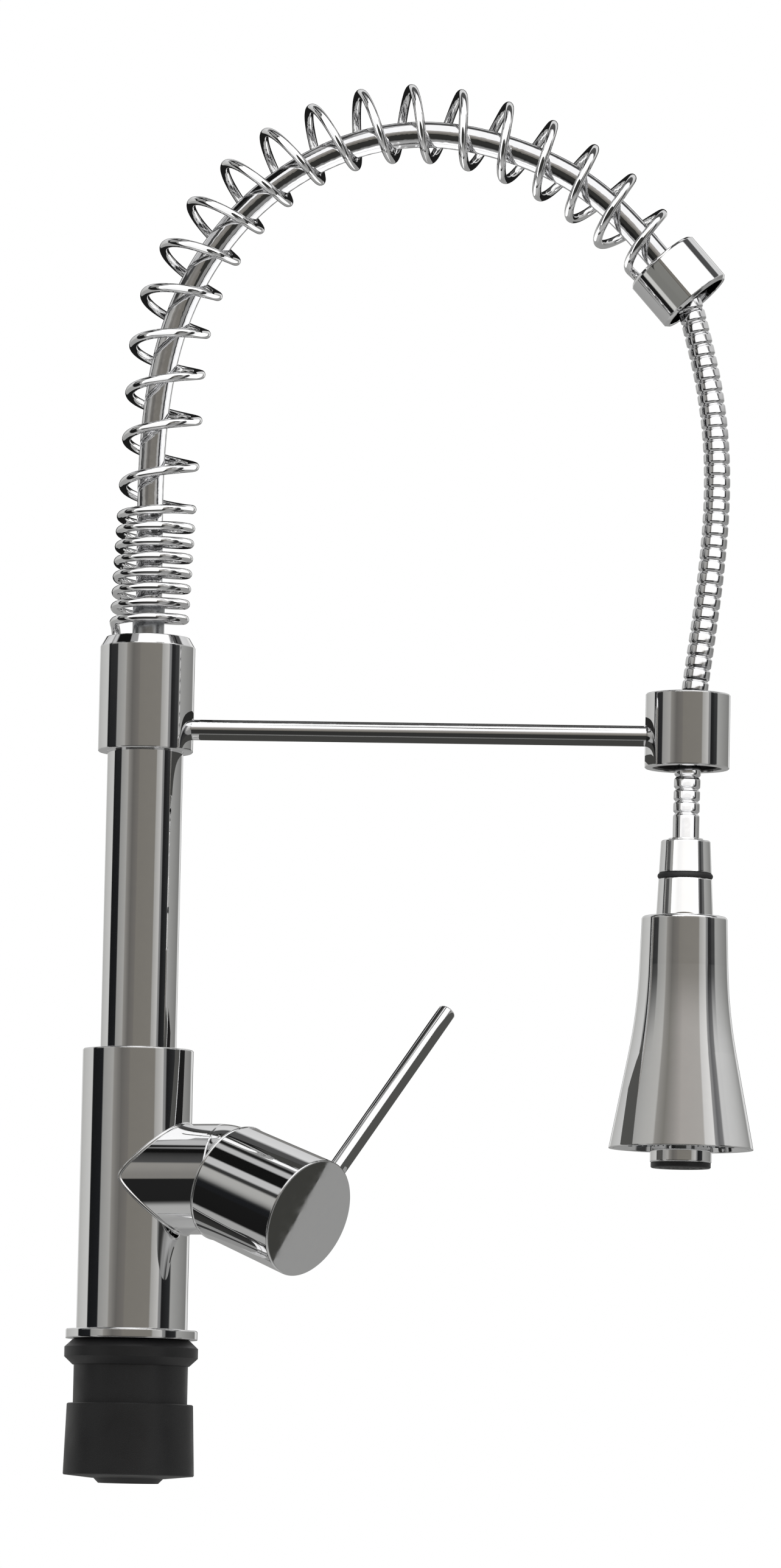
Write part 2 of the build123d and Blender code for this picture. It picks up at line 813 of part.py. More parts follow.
# Riser tube with a groove for its retaining clip
riser_bottom = thrust_top + free_gap
clip_bottom = riser_bottom + clip_height
clip_top = clip_bottom + clip_thickness
clip_seat_radius = riser_radius - clip_bite
with BuildPart() as riser_tube:
    turned(ring_points(riser_bore_radius, riser_radius, riser_bottom, riser_top))
    turned(
        ring_points(clip_seat_radius, riser_radius + overrun, clip_bottom, clip_top),
        mode=Mode.SUBTRACT,
    )
riser_tube.part.label = "riser_tube"
export_step(riser_tube.part, "parts/riser_tube.step")

with BuildPart() as swivel_clip:
    with BuildSketch(Plane.XZ) as clip_section:
        with BuildLine():
            Polyline(
                *ring_points(
                    clip_seat_radius + fixed_gap,
                    clip_outer_radius,
                    clip_bottom + fixed_gap,
                    clip_top - fixed_gap,
                ),
                close=True,
            )
        make_face()
    revolve(clip_section.sketch, axis=Axis.Z, revolution_arc=360 - clip_opening)
swivel_clip.part.label = "swivel_clip"
export_step(swivel_clip.part, "parts/swivel_clip.step")

with BuildPart() as guide_bush:
    turned(
        ring_points(
            riser_radius + running_gap,
            outlet_socket_radius - fixed_gap,
            clip_top + free_gap,
            body_top - edge_break / 2,
        )
    )
guide_bush.part.label = "guide_bush"
export_step(guide_bush.part, "parts/guide_bush.step")

# Centre line of the spring: a leaning run, three crown arcs and a tail
collar_shoulder = collar_bottom + collar_shoulder_height
seat_height = collar_shoulder + collar_cone_height
with BuildLine() as spring_line:
    lean = radians(spring_lean)
    run_end = Vector(sin(lean), 0, cos(lean)) * spring_straight + up * seat_height
    spine_end = Line((0, 0, seat_height), run_end) @ 1
    heading = radians(90) - lean
    for radius, turn in zip(crown_radii, crown_turns):
        after = heading - radians(turn)
        middle = heading - radians(turn) / 2
        centre = spine_end + Vector(sin(heading), 0, -cos(heading)) * radius
        mid_point = centre + Vector(-sin(middle), 0, cos(middle)) * radius
        end_point = centre + Vector(-sin(after), 0, cos(after)) * radius
        spine_end = ThreePointArc(spine_end, mid_point, end_point) @ 1
        heading = after
    tail_dir = Vector(cos(heading), 0, sin(heading))
    Line(spine_end, spine_end + tail_dir * spring_tail)
spine = spring_line.wire()
ferrule_frame = Plane(spine @ 1, x_dir=(0, 1, 0), z_dir=tail_dir)

# The coil's travel along that line: close turns, one widening turn, then open turns
coil_turns = close_turns + 1 + open_turns
close_travel = coil_start + close_pitch * close_turns
open_travel = spine.length - coil_stop - close_travel - close_pitch / 2
open_pitch = open_travel / (1 / 2 + open_turns * (1 + open_pitch_end_share) / 2)


def coil_travel(turns):
    """Distance along the spring's centre line after a number of turns."""
    if turns <= close_turns:
        return coil_start + close_pitch * turns
    widened = min(turns - close_turns, 1)
    opened = max(turns - close_turns - 1, 0)
    travel = close_travel + close_pitch * widened + (open_pitch - close_pitch) * widened**2 / 2
    narrowing = open_pitch * (1 - open_pitch_end_share) / open_turns
    return travel + open_pitch * opened - narrowing * opened**2 / 2


def coil_point(turns):
    """A point of the wire's centre line after a number of turns."""
    travel = coil_travel(turns)
    place = spine.position_at(travel, position_mode=PositionMode.LENGTH)
    along = spine.tangent_at(travel, position_mode=PositionMode.LENGTH)
    outward = Vector(-along.Z, 0, along.X)
    taper = min(max(turns - coil_turns + 1, 0), 1)
    radius = coil_radius + (coil_end_radius - coil_radius) * taper
    angle = 2 * pi * turns
    return place + outward * (radius * cos(angle)) + along.cross(outward) * (radius * sin(angle))


def coil_tangent(turns):
    """The wire's direction after a number of turns."""
    return (coil_point(turns + nudge_share) - coil_point(turns - nudge_share)).normalized()


def arc_middle(start, start_dir, end):
    """The middle point of the arc that leaves start along start_dir and reaches end."""
    chord = end - start
    half_turn = radians(start_dir.get_angle(chord)) / 2
    bulge = start_dir - chord * (start_dir.dot(chord) / chord.length**2)
    return start + chord / 2 + bulge.normalized() * (chord.length / 2 * tan(half_turn))


def biarc(start, start_dir, end, end_dir):
    """Two tangent arcs from start to end, added to the line being built."""
    span = end - start
    reach = span.dot(start_dir + end_dir)
    spread = 2 * (1 - start_dir.dot(end_dir))
    step = (sqrt(reach**2 + spread * span.dot(span)) - reach) / spread
    joint = (start + start_dir * step + end - end_dir * step) / 2
    ThreePointArc(start, arc_middle(start, start_dir, joint), joint)
    ThreePointArc(joint, arc_middle(end, end_dir * -1, joint), end)


# Where the wire's two ends turn straight into the collar and into the ferrule
foot_turns = wire_bend / (2 * pi * coil_radius)
foot_top = coil_point(-foot_turns) - up * wire_bend
foot_bottom = foot_top - up * (wire_radius * 2)
toe_turns = wire_bend / (2 * pi * coil_end_radius)
toe_top = coil_point(coil_turns + toe_turns) + tail_dir * wire_bend
toe_bottom = toe_top + tail_dir * (wire_radius * 2)
wire_socket_radius = wire_radius + fixed_gap * 2

# Spring collar, clamped on the riser, with a cone and a seat for the spring's end
lock_screw_place = Vector(0, riser_radius + fixed_gap, collar_bottom + lock_screw_height)
arm_start = riser_radius + arm_collar_skin
with BuildPart() as spring_collar:
    turned([
        (riser_radius + fixed_gap, collar_bottom),
        (collar_radius - edge_break, collar_bottom),
        (collar_radius, collar_bottom + edge_break),
        (collar_radius, collar_shoulder),
        (collar_top_radius, seat_height),
        (collar_throat_radius, seat_height),
        (collar_throat_radius, riser_top),
        (riser_radius + fixed_gap, riser_top),
    ])
    round_hole(
        (arm_start - fixed_gap, 0, arm_height), (1, 0, 0), arm_radius + fixed_gap, collar_radius
    )
    round_hole(lock_screw_place, (0, 1, 0), grub_radius + fixed_gap, collar_radius)
    round_hole(foot_bottom, up, wire_socket_radius, seat_height - foot_bottom.Z + overrun)
spring_collar.part.label = "spring_collar"
export_step(spring_collar.part, "parts/spring_collar.step")

with BuildPart() as collar_lock_screw:
    round_bar(
        lock_screw_place,
        (0, 1, 0),
        grub_radius,
        collar_radius - riser_radius - edge_break - fixed_gap,
    )
collar_lock_screw.part.label = "collar_lock_screw"
export_step(collar_lock_screw.part, "parts/collar_lock_screw.step")

# Connector in the riser's top: a plug, a neck through the collar and a hose nipple
connector_shoulder = seat_height + connector_rise
with BuildPart() as hose_connector:
    turned([
        (hose_nipple_bore_radius, riser_top - connector_plug_length),
        (riser_bore_radius - fixed_gap, riser_top - connector_plug_length),
        (riser_bore_radius - fixed_gap, riser_top - fixed_gap),
        (collar_throat_radius - fixed_gap, riser_top - fixed_gap),
        (collar_throat_radius - fixed_gap, connector_shoulder),
        (hose_nipple_radius, connector_shoulder),
        (hose_nipple_radius, connector_shoulder + connector_nipple_length),
        (hose_nipple_bore_radius, connector_shoulder + connector_nipple_length),
    ])
hose_connector.part.label = "hose_connector"
export_step(hose_connector.part, "parts/hose_connector.step")

with BuildPart() as hose_crimp:
    turned(
        ring_points(
            arch_hose_radius + fixed_gap,
            arch_hose_radius + fixed_gap + crimp_wall,
            connector_shoulder,
            connector_shoulder + crimp_length,
        )
    )
hose_crimp.part.label = "hose_crimp"
export_step(hose_crimp.part, "parts/hose_crimp.step")

# Docking arm and the holder ring with its liner
arm_end = spray_reach - holder_bore_radius - arm_holder_skin
with BuildPart() as docking_arm:
    round_bar((arm_start, 0, arm_height), (1, 0, 0), arm_radius, arm_end - arm_start)
docking_arm.part.label = "docking_arm"
export_step(docking_arm.part, "parts/docking_arm.step")

holder_top = holder_bottom + holder_height
with BuildPart() as spray_holder:
    turned(
        [
            (holder_bore_radius, holder_bottom),
            (holder_radius - edge_break, holder_bottom),
            (holder_radius, holder_bottom + edge_break),
            (holder_radius, holder_top - edge_break),
            (holder_radius - edge_break, holder_top),
            (holder_bore_radius, holder_top),
        ],
        spray_cut,
        spray_axis,
    )
    round_hole(
        (arm_end + fixed_gap, 0, arm_height), (-1, 0, 0), arm_radius + fixed_gap, holder_radius
    )
spray_holder.part.label = "spray_holder"
export_step(spray_holder.part, "parts/spray_holder.step")

liner_radius = holder_bore_radius - fixed_gap
with BuildPart() as holder_liner:
    turned(
        ring_points(
            liner_radius - liner_wall, liner_radius, holder_bottom + liner_inset,
            holder_top - liner_inset,
        ),
        spray_cut,
        spray_axis,
    )
holder_liner.part.label = "holder_liner"
export_step(holder_liner.part, "parts/holder_liner.step")

# Arch spring: one unbroken wire from its foot in the collar to its toe in the ferrule
steps = [step / 2 for step in range(int(coil_turns * 2) + 1)]
with BuildPart() as arch_spring:
    with BuildLine() as wire_line:
        Line(foot_bottom, foot_top)
        biarc(foot_top, up, coil_point(0), coil_tangent(0))
        for here, there in zip(steps, steps[1:]):
            biarc(coil_point(here), coil_tangent(here), coil_point(there), coil_tangent(there))
        biarc(coil_point(coil_turns), coil_tangent(coil_turns), toe_top, tail_dir)
        Line(toe_top, toe_bottom)
    with BuildSketch(Plane(foot_bottom, z_dir=up)) as wire_section:
        Circle(wire_radius)
    sweep(wire_section.sketch, path=wire_line.wire())
arch_spring.part.label = "arch_spring"
export_step(arch_spring.part, "parts/arch_spring.step")

# Least gap from one turn to the next, measured on points of the wire's centre line
samples_per_edge = 12
edges_per_turn = 4
wire_points = []
for edge in wire_line.edges():
    wire_points += [edge @ (n / samples_per_edge) for n in range(samples_per_edge)]
per_turn = samples_per_edge * edges_per_turn
least = min(
    (wire_points[i] - other).length
    for i in range(len(wire_points))
    for other in wire_points[i + per_turn // 2:i + per_turn * 3 // 2]
)
print("spring: turns", coil_turns, "least gap", round(least - wire_radius * 2, 2), "mm")
print("spring: volume share", round(arch_spring.part.volume / (
    pi * wire_radius**2 * wire_line.wire().length), 4))

# Ferrule: a cup whose plate takes the spring's toe and whose mouth lets the hose out
ferrule_side = Vector(0, 1, 0)
ferrule_cut = Plane(ferrule_frame.origin, x_dir=ferrule_side, z_dir=ferrule_side.cross(tail_dir))
ferrule_axis = Axis(ferrule_frame.origin, tail_dir)
mouth_radius = ferrule_radius - ferrule_wall
toe_depth = (toe_bottom - ferrule_frame.origin).dot(tail_dir)
with BuildPart() as spring_ferrule:
    turned(
        [
            (coupling_radius + fixed_gap, 0),
            (ferrule_radius - ferrule_bevel, 0),
            (ferrule_radius, ferrule_bevel),
            (ferrule_radius, ferrule_length - ferrule_bevel),
            (ferrule_radius - ferrule_bevel, ferrule_length),
            (mouth_radius, ferrule_length),
            (mouth_radius, ferrule_plate),
            (coupling_radius + fixed_gap, ferrule_plate),
        ],
        ferrule_cut,
        ferrule_axis,
    )
    round_hole(toe_bottom, tail_dir * -1, wire_socket_radius, toe_depth + overrun)
spring_ferrule.part.label = "spring_ferrule"
export_step(spring_ferrule.part, "parts/spring_ferrule.step")

# Coupling in the ferrule's plate, with a nipple into each hose
arch_hose_end = ferrule_frame.origin + tail_dir * coupling_recess
drop_hose_start = ferrule_frame.origin + tail_dir * ferrule_plate
with BuildPart() as hose_coupling:
    turned(
        [
            (hose_nipple_bore_radius, coupling_recess - coupling_nipple_length),
            (hose_nipple_radius, coupling_recess - coupling_nipple_length),
            (hose_nipple_radius, coupling_recess),
            (coupling_radius, coupling_recess),
            (coupling_radius, ferrule_plate),
            (hose_nipple_radius, ferrule_plate),
            (hose_nipple_radius, ferrule_plate + coupling_nipple_length),
            (hose_nipple_bore_radius, ferrule_plate + coupling_nipple_length),
        ],
        ferrule_cut,
        ferrule_axis,
    )
hose_coupling.part.label = "hose_coupling"
export_step(hose_coupling.part, "parts/hose_coupling.step")

# Arch hose: up from the connector, over the crown inside the spring, into the ferrule
hose_foot = up * connector_shoulder
foot_lead = hose_foot + up * crimp_length
end_lead = arch_hose_end - tail_dir * (arch_hose_radius * 2)
hose_play = coil_radius - wire_radius - arch_hose_radius
hose_lay = []
for travel_share, play_share in arch_hose_lay_shares:
    travel = spine.length * travel_share
    place = spine.position_at(travel, position_mode=PositionMode.LENGTH)
    along = spine.tangent_at(travel, position_mode=PositionMode.LENGTH)
    hose_lay.append(place + Vector(-along.Z, 0, along.X) * (hose_play * play_share))
with BuildPart() as hose_arch:
    with BuildLine() as arch_line:
        Line(hose_foot, foot_lead)
        Spline(foot_lead, *hose_lay, end_lead, tangents=(up, tail_dir))
        Line(end_lead, arch_hose_end)
    with BuildSketch(Plane(hose_foot, z_dir=up)) as arch_section:
        Circle(arch_hose_radius)
        Circle(hose_bore_radius, mode=Mode.SUBTRACT)
    sweep(arch_section.sketch, path=arch_line.wire())
hose_arch.part.label = "hose_arch"
export_step(hose_arch.part, "parts/hose_arch.step")

# Free hose: straight out of the ferrule, out in a bow, and straight down into the spray's neck
fitting_top = neck_top + fitting_rise
drop_lead = drop_hose_start + tail_dir * (drop_hose_radius * 2)
drop_height = drop_lead.Z - fitting_top
drop_route = [drop_hose_start, drop_lead]
for bow, height_share in zip(drop_bows, drop_height_shares):
    drop_route.append(Vector(spray_reach + bow, 0, fitting_top + drop_height * height_share))
drop_route.append(Vector(spray_reach, 0, fitting_top + drop_height * drop_straight_share))
drop_route.append(Vector(spray_reach, 0, fitting_top))
drop_radii = []
for before, corner, after in zip(drop_route, drop_route[1:], drop_route[2:]):
    shorter = min((corner - before).length, (after - corner).length)
    half_turn = radians((corner - before).get_angle(after - corner)) / 2
    drop_radii.append(bend_run_share * shorter / tan(half_turn))
print("free hose radii", [round(radius) for radius in drop_radii])
with BuildLine() as drop_line:
    FilletPolyline(*drop_route, radius=drop_radii)
drop_path = drop_line.wire()


def hose_plane(travel):
    """The plane across the free hose after a travel along its centre line."""
    place = drop_path.position_at(travel, position_mode=PositionMode.LENGTH)
    along = drop_path.tangent_at(travel, position_mode=PositionMode.LENGTH)
    return Plane(place, x_dir=(0, 1, 0), z_dir=along)


# Its ribs: up a slope, along the ridge and down again, between two plain ends
ridge_share = 0.28
slope_share = 0.22
plain_end = drop_hose_radius * 2
ribbed_length = drop_path.length - plain_end * 2
rib_count = round(ribbed_length / rib_pitch)
rib_length = ribbed_length / rib_count
valley_radius = drop_hose_radius - rib_depth
rib_shares = (
    ((1 - ridge_share) / 2 - slope_share, valley_radius),
    ((1 - ridge_share) / 2, drop_hose_radius),
    ((1 + ridge_share) / 2, drop_hose_radius),
    ((1 + ridge_share) / 2 + slope_share, valley_radius),
)
stations = [(0, drop_hose_radius), (plain_end, drop_hose_radius)]
for rib in range(rib_count):
    for length_share, radius in rib_shares:
        stations.append((plain_end + (rib + length_share) * rib_length, radius))
stations.append((drop_path.length - plain_end, drop_hose_radius))
stations.append((drop_path.length, drop_hose_radius))
with BuildPart() as hose_drop:
    for travel, radius in stations:
        with BuildSketch(hose_plane(travel)):
            Circle(radius)
    loft(ruled=True)
    with BuildSketch(hose_plane(0)) as bore_section:
        Circle(hose_bore_radius)
    sweep(bore_section.sketch, path=drop_path, mode=Mode.SUBTRACT)
hose_drop.part.label = "hose_drop"
export_step(hose_drop.part, "parts/hose_drop.step")
print("free hose: length", round(drop_path.length, 1), "mm, ribs", rib_count)

# Fitting on the hose's lower end: a nipple, a body that the neck turns on, and a flange
neck_shoulder = neck_top - neck_shoulder_drop
flange_top = neck_shoulder - free_gap
flange_bottom = flange_top - fitting_flange
tail_bottom = flange_bottom - fitting_tail_length
fitting_radius = neck_bore_radius - running_gap
with BuildPart() as hose_end_fitting:
    turned(
        [
            (hose_nipple_bore_radius, tail_bottom),
            (fitting_tail_radius, tail_bottom),
            (fitting_tail_radius, flange_bottom),
            (neck_chamber_radius - free_gap, flange_bottom),
            (neck_chamber_radius - free_gap, flange_top),
            (fitting_radius, flange_top),
            (fitting_radius, fitting_top),
            (hose_nipple_radius, fitting_top),
            (hose_nipple_radius, fitting_top + fitting_nipple_length),
            (hose_nipple_bore_radius, fitting_top + fitting_nipple_length),
        ],
        spray_cut,
        spray_axis,
    )
hose_end_fitting.part.label = "hose_end_fitting"
export_step(hose_end_fitting.part, "parts/hose_end_fitting.step")

# Spray neck, tapered, with a ring groove, screwed into the bell's roof
neck_slope = (neck_bottom_radius - neck_top_radius) / (neck_top - neck_bottom)
ring_neck_radius = neck_top_radius + neck_slope * (neck_top - neck_o_ring_height)
neck_groove_radius = ring_neck_radius + neck_o_ring_proud - neck_o_ring_radius * 2
with BuildPart() as spray_neck:
    turned(
        [
            (neck_chamber_radius, neck_bottom - neck_spigot_length),
            (neck_spigot_radius, neck_bottom - neck_spigot_length),
            (neck_spigot_radius, neck_bottom),
            (neck_bottom_radius, neck_bottom),
            (neck_top_radius + neck_slope * edge_break, neck_top - edge_break),
            (neck_top_radius - edge_break, neck_top),
            (neck_bore_radius, neck_top),
            (neck_bore_radius, neck_shoulder),
            (neck_chamber_radius, neck_shoulder),
        ],
        spray_cut,
        spray_axis,
    )
    turned(
        ring_points(
            neck_groove_radius,
            neck_bottom_radius + overrun,
            neck_o_ring_height - neck_o_ring_radius - fixed_gap,
            neck_o_ring_height + neck_o_ring_radius + fixed_gap,
        ),
        spray_cut,
        spray_axis,
        Mode.SUBTRACT,
    )
spray_neck.part.label = "spray_neck"
export_step(spray_neck.part, "parts/spray_neck.step")

with BuildPart() as neck_o_ring:
    with Locations((spray_reach, 0, neck_o_ring_height)):
        Torus(neck_groove_radius + neck_o_ring_radius, neck_o_ring_radius)
neck_o_ring.part.label = "neck_o_ring"
export_step(neck_o_ring.part, "parts/neck_o_ring.step")

# Spray bell: a flared shell, closed by a roof round the neck's spigot
roof_bottom = neck_bottom - bell_roof
flare_slope = (bell_mouth_radius - bell_waist_radius) / (bell_waist_height - bell_bottom)


def bell_inside(height):
    """The shell's inner radius at a height below the waist."""
    return bell_waist_radius - bell_wall + flare_slope * (bell_waist_height - height)


with BuildPart() as spray_bell:
    with BuildSketch(spray_cut) as bell_section:
        with BuildLine():
            flank = FilletPolyline(
                (bell_top_radius, neck_bottom - bell_shoulder_round),
                (bell_waist_radius, bell_waist_height),
                (bell_mouth_radius, bell_bottom),
                radius=bell_flare_radius,
            )
            inner_flank = FilletPolyline(
                (bell_top_radius - bell_wall, roof_bottom),
                (bell_waist_radius - bell_wall, bell_waist_height),
                (bell_mouth_radius - bell_wall, bell_bottom),
                radius=bell_flare_radius,
            )
            Line(flank @ 1, inner_flank @ 1)
            Polyline(
                inner_flank @ 0,
                (neck_spigot_radius + fixed_gap, roof_bottom),
                (neck_spigot_radius + fixed_gap, neck_bottom),
                (bell_top_radius - bell_shoulder_round, neck_bottom),
            )
            RadiusArc(
                (bell_top_radius - bell_shoulder_round, neck_bottom),
                flank @ 0,
                bell_shoulder_round,
            )
        make_face()
    revolve(bell_section.sketch, axis=spray_axis)
spray_bell.part.label = "spray_bell"
export_step(spray_bell.part, "parts/spray_bell.step")

# Core: a waterway tube on a plate with the knob's chamber below
face_bottom = bell_bottom + face_recess
face_top = face_bottom + face_thickness
core_bottom = face_top
plate_top = core_bottom + core_plate
flange_low = face_top + knob_flange_lift
flange_high = flange_low + knob_flange_thickness
chamber_top = flange_high + knob_travel + free_gap
chamber_radius = knob_flange_radius + free_gap
chamber_wall = core_tube_radius - core_bore_radius
valve_top = core_top - valve_drop
with BuildPart() as spray_core:
    turned(
        [
            (chamber_radius, core_bottom),
            (bell_inside(core_bottom) - fixed_gap, core_bottom),
            (bell_inside(plate_top) - fixed_gap, plate_top),
            (chamber_radius + chamber_wall, plate_top),
            (chamber_radius + chamber_wall, chamber_top),
            (core_tube_radius, chamber_top + chamber_wall),
            (core_tube_radius, core_top),
            (core_bore_radius, core_top),
            (core_bore_radius, chamber_top),
            (chamber_radius, chamber_top),
        ],
        spray_cut,
        spray_axis,
    )
    turned(
        ring_points(0, valve_radius + fixed_gap, valve_top - valve_length, core_top + overrun),
        spray_cut,
        spray_axis,
        Mode.SUBTRACT,
    )
spray_core.part.label = "spray_core"
export_step(spray_core.part, "parts/spray_core.step")

with BuildPart() as check_valve:
    turned(
        ring_points(hose_nipple_bore_radius, valve_radius, valve_top - valve_length, valve_top),
        spray_cut,
        spray_axis,
    )
check_valve.part.label = "check_valve"
export_step(check_valve.part, "parts/check_valve.step")

# Spray face: a black plate with a hole for the knob and two rings of rubber nozzles
with BuildPart() as spray_face:
    turned(
        [
            (knob_radius + free_gap, face_bottom),
            (bell_inside(face_bottom) - fixed_gap, face_bottom),
            (bell_inside(face_top) - fixed_gap, face_top),
            (knob_radius + free_gap, face_top),
        ],
        spray_cut,
        spray_axis,
    )
    for ring_radius, count in zip(nozzle_ring_radii, nozzle_ring_counts):
        with BuildSketch(Plane((spray_reach, 0, face_bottom))) as holes:
            with PolarLocations(ring_radius, count):
                Circle(nozzle_radius + fixed_gap)
        extrude(holes.sketch, amount=face_thickness, mode=Mode.SUBTRACT)
spray_face.part.label = "spray_face"
export_step(spray_face.part, "parts/spray_face.step")

with BuildPart() as spray_nozzles:
    for ring_radius, count in zip(nozzle_ring_radii, nozzle_ring_counts):
        with BuildSketch(Plane((spray_reach, 0, face_bottom - nozzle_proud))) as tips:
            with PolarLocations(ring_radius, count):
                Circle(nozzle_radius)
                Circle(nozzle_bore_radius, mode=Mode.SUBTRACT)
        extrude(tips.sketch, amount=nozzle_proud + face_thickness)
spray_nozzles.part.label = "spray_nozzles"
export_step(spray_nozzles.part, "parts/spray_nozzles.step")

# Mode knob: pushed up for spray, down for stream, with an aerator in its mouth
knob_bottom = bell_bottom - knob_drop
aerator_radius = knob_radius - knob_wall
aerator_top = knob_bottom + aerator_height
with BuildPart() as mode_knob:
    turned(
        [
            (aerator_radius + fixed_gap, knob_bottom),
            (knob_radius - edge_break, knob_bottom),
            (knob_radius, knob_bottom + edge_break),
            (knob_radius, flange_low),
            (knob_flange_radius, flange_low),
            (knob_flange_radius, flange_high),
            (core_bore_radius, flange_high),
            (core_bore_radius, aerator_top + fixed_gap),
            (aerator_radius + fixed_gap, aerator_top + fixed_gap),
        ],
        spray_cut,
        spray_axis,
    )
mode_knob.part.label = "mode_knob"
export_step(mode_knob.part, "parts/mode_knob.step")

# Aerator insert: a lip under the knob's rim, a plug above it and rings of fine holes
lip_top = knob_bottom - fixed_gap
lip_bottom = lip_top - aerator_lip
lip_radius = knob_radius - aerator_lip_inset
with BuildPart() as aerator_insert:
    turned(
        [
            (0, lip_bottom),
            (lip_radius - edge_break, lip_bottom),
            (lip_radius, lip_bottom + edge_break),
            (lip_radius, lip_top),
            (aerator_radius, lip_top),
            (aerator_radius, aerator_top),
            (0, aerator_top),
        ],
        spray_cut,
        spray_axis,
    )
    for ring_radius, count in zip(aerator_ring_radii, aerator_ring_counts):
        with BuildSketch(Plane((spray_reach, 0, lip_bottom))) as jets:
            with PolarLocations(ring_radius, count):
                Circle(aerator_hole_radius)
        extrude(jets.sketch, amount=aerator_top - lip_bottom, mode=Mode.SUBTRACT)
aerator_insert.part.label = "aerator_insert"
export_step(aerator_insert.part, "parts/aerator_insert.step")
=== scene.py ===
"""Chrome kitchen faucet with a spring arch, a docking arm and a pull-out spray."""
from math import cos, pi, radians, sin

import bpy
from mathutils import Matrix, Vector


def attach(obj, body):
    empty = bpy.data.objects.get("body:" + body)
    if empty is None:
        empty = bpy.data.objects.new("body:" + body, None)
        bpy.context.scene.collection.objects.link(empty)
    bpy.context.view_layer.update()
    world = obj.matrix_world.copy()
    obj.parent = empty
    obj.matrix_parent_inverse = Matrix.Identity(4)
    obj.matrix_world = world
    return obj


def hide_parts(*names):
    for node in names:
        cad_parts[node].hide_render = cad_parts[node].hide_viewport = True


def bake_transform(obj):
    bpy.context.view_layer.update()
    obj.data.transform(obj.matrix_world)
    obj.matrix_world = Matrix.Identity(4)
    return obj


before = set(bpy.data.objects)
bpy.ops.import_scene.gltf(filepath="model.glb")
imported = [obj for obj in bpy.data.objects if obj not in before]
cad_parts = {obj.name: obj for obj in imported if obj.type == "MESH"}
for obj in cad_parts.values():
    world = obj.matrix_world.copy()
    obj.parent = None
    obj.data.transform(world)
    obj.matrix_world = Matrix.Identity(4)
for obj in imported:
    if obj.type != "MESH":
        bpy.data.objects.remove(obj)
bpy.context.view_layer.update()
scene = bpy.context.scene
scene.view_settings.view_transform = "Standard"

MM = 0.001


def linear(code):
    """The linear colour of an sRGB hex value."""
    shares = [int(code[place:place + 2], 16) / 255 for place in (1, 3, 5)]
    return [s / 12.92 if s <= 0.04045 else ((s + 0.055) / 1.055) ** 2.4 for s in shares] + [1.0]


def add(tree, kind, inputs=(), **settings):
    """Add a node with its settings, and set or link each of its inputs."""
    node = tree.nodes.new(kind)
    for name, value in settings.items():
        setattr(node, name, value)
    for key, value in inputs.items() if isinstance(inputs, dict) else enumerate(inputs):
        if isinstance(value, bpy.types.Node):
            value = value.outputs[0]
        if isinstance(value, bpy.types.NodeSocket):
            tree.links.new(value, node.inputs[key])
        elif value is not None:
            node.inputs[key].default_value = value
    return node


def grade(ramp_node, span, stops):
    """Give a colour ramp its stops, each an angle from minus span to span and a hex colour."""
    ramp = ramp_node.color_ramp
    while len(ramp.elements) < len(stops):
        ramp.elements.new(1.0)
    for element, (angle, code) in zip(ramp.elements, stops):
        element.position = (angle + span) / (2 * span)
        element.color = linear(code)
    return ramp_node


def studio_camera():
    """A long lens just under the deck, looking slightly up and rolled by a degree."""
    yaw, pitch, roll = radians(-3.09), radians(6.11), radians(1.16)
    place = (0.28, -3.2, -0.10)
    look = Vector((sin(yaw) * cos(pitch), cos(yaw) * cos(pitch), sin(pitch)))
    level = Vector((cos(yaw), -sin(yaw), 0))
    over = level.cross(look)
    across = level * cos(roll) + over * sin(roll)
    upward = over * cos(roll) - level * sin(roll)
    lens = bpy.data.cameras.new("camera")
    lens.lens = 170.1
    lens.sensor_width = 36.0
    lens.clip_end = 50.0
    camera = bpy.data.objects.new("camera", lens)
    turn = Matrix((across, upward, -look)).transposed().to_4x4()
    camera.matrix_world = Matrix.Translation(place) @ turn
    scene.collection.objects.link(camera)
    scene.camera = camera


# The free hose's route, from the ferrule down to the spray's neck, in metres
HOSE_ROUTE = (
    (0.22437, 0, 0.47106), (0.23191, 0, 0.46239), (0.2380, 0, 0.4410), (0.2436, 0, 0.4175),
    (0.2469, 0, 0.3920), (0.2473, 0, 0.3660), (0.2454, 0, 0.3390), (0.2423, 0, 0.3125),
    (0.2388, 0, 0.2865), (0.2360, 0, 0.2545), (0.2360, 0, 0.2210),
)


def evaluated_mesh(piece, name):
    """Turn a piece's evaluated shape to a plain mesh piece without modifiers."""
    bpy.context.view_layer.update()
    shape = bpy.data.meshes.new_from_object(piece.evaluated_get(
        bpy.context.evaluated_depsgraph_get()))
    bpy.data.objects.remove(piece)
    shape.name = name
    plain = bpy.data.objects.new(name, shape)
    scene.collection.objects.link(plain)
    return plain


def curve_piece(name, routes, kind):
    """A curve object of one spline per route; a NURBS one touches its two ends."""
    line = bpy.data.curves.new(name, "CURVE")
    line.dimensions = "3D"
    for route in routes:
        spline = line.splines.new(kind)
        spline.points.add(len(route) - 1)
        for point, place in zip(spline.points, route):
            point.co = (*place, 1.0)
        if kind == "NURBS":
            spline.order_u = 3
            spline.use_endpoint_u = True
            spline.resolution_u = 24
    piece = bpy.data.objects.new(name, line)
    scene.collection.objects.link(piece)
    return piece


def give_nodes(piece, tree, values):
    """Run a geometry tree on a piece, with its named inputs set."""
    modifier = piece.modifiers.new(tree.name, "NODES")
    modifier.node_group = tree
    for item in tree.interface.items_tree:
        if item.item_type == "SOCKET" and item.in_out == "INPUT" and item.name in values:
            modifier[item.identifier] = values[item.name]


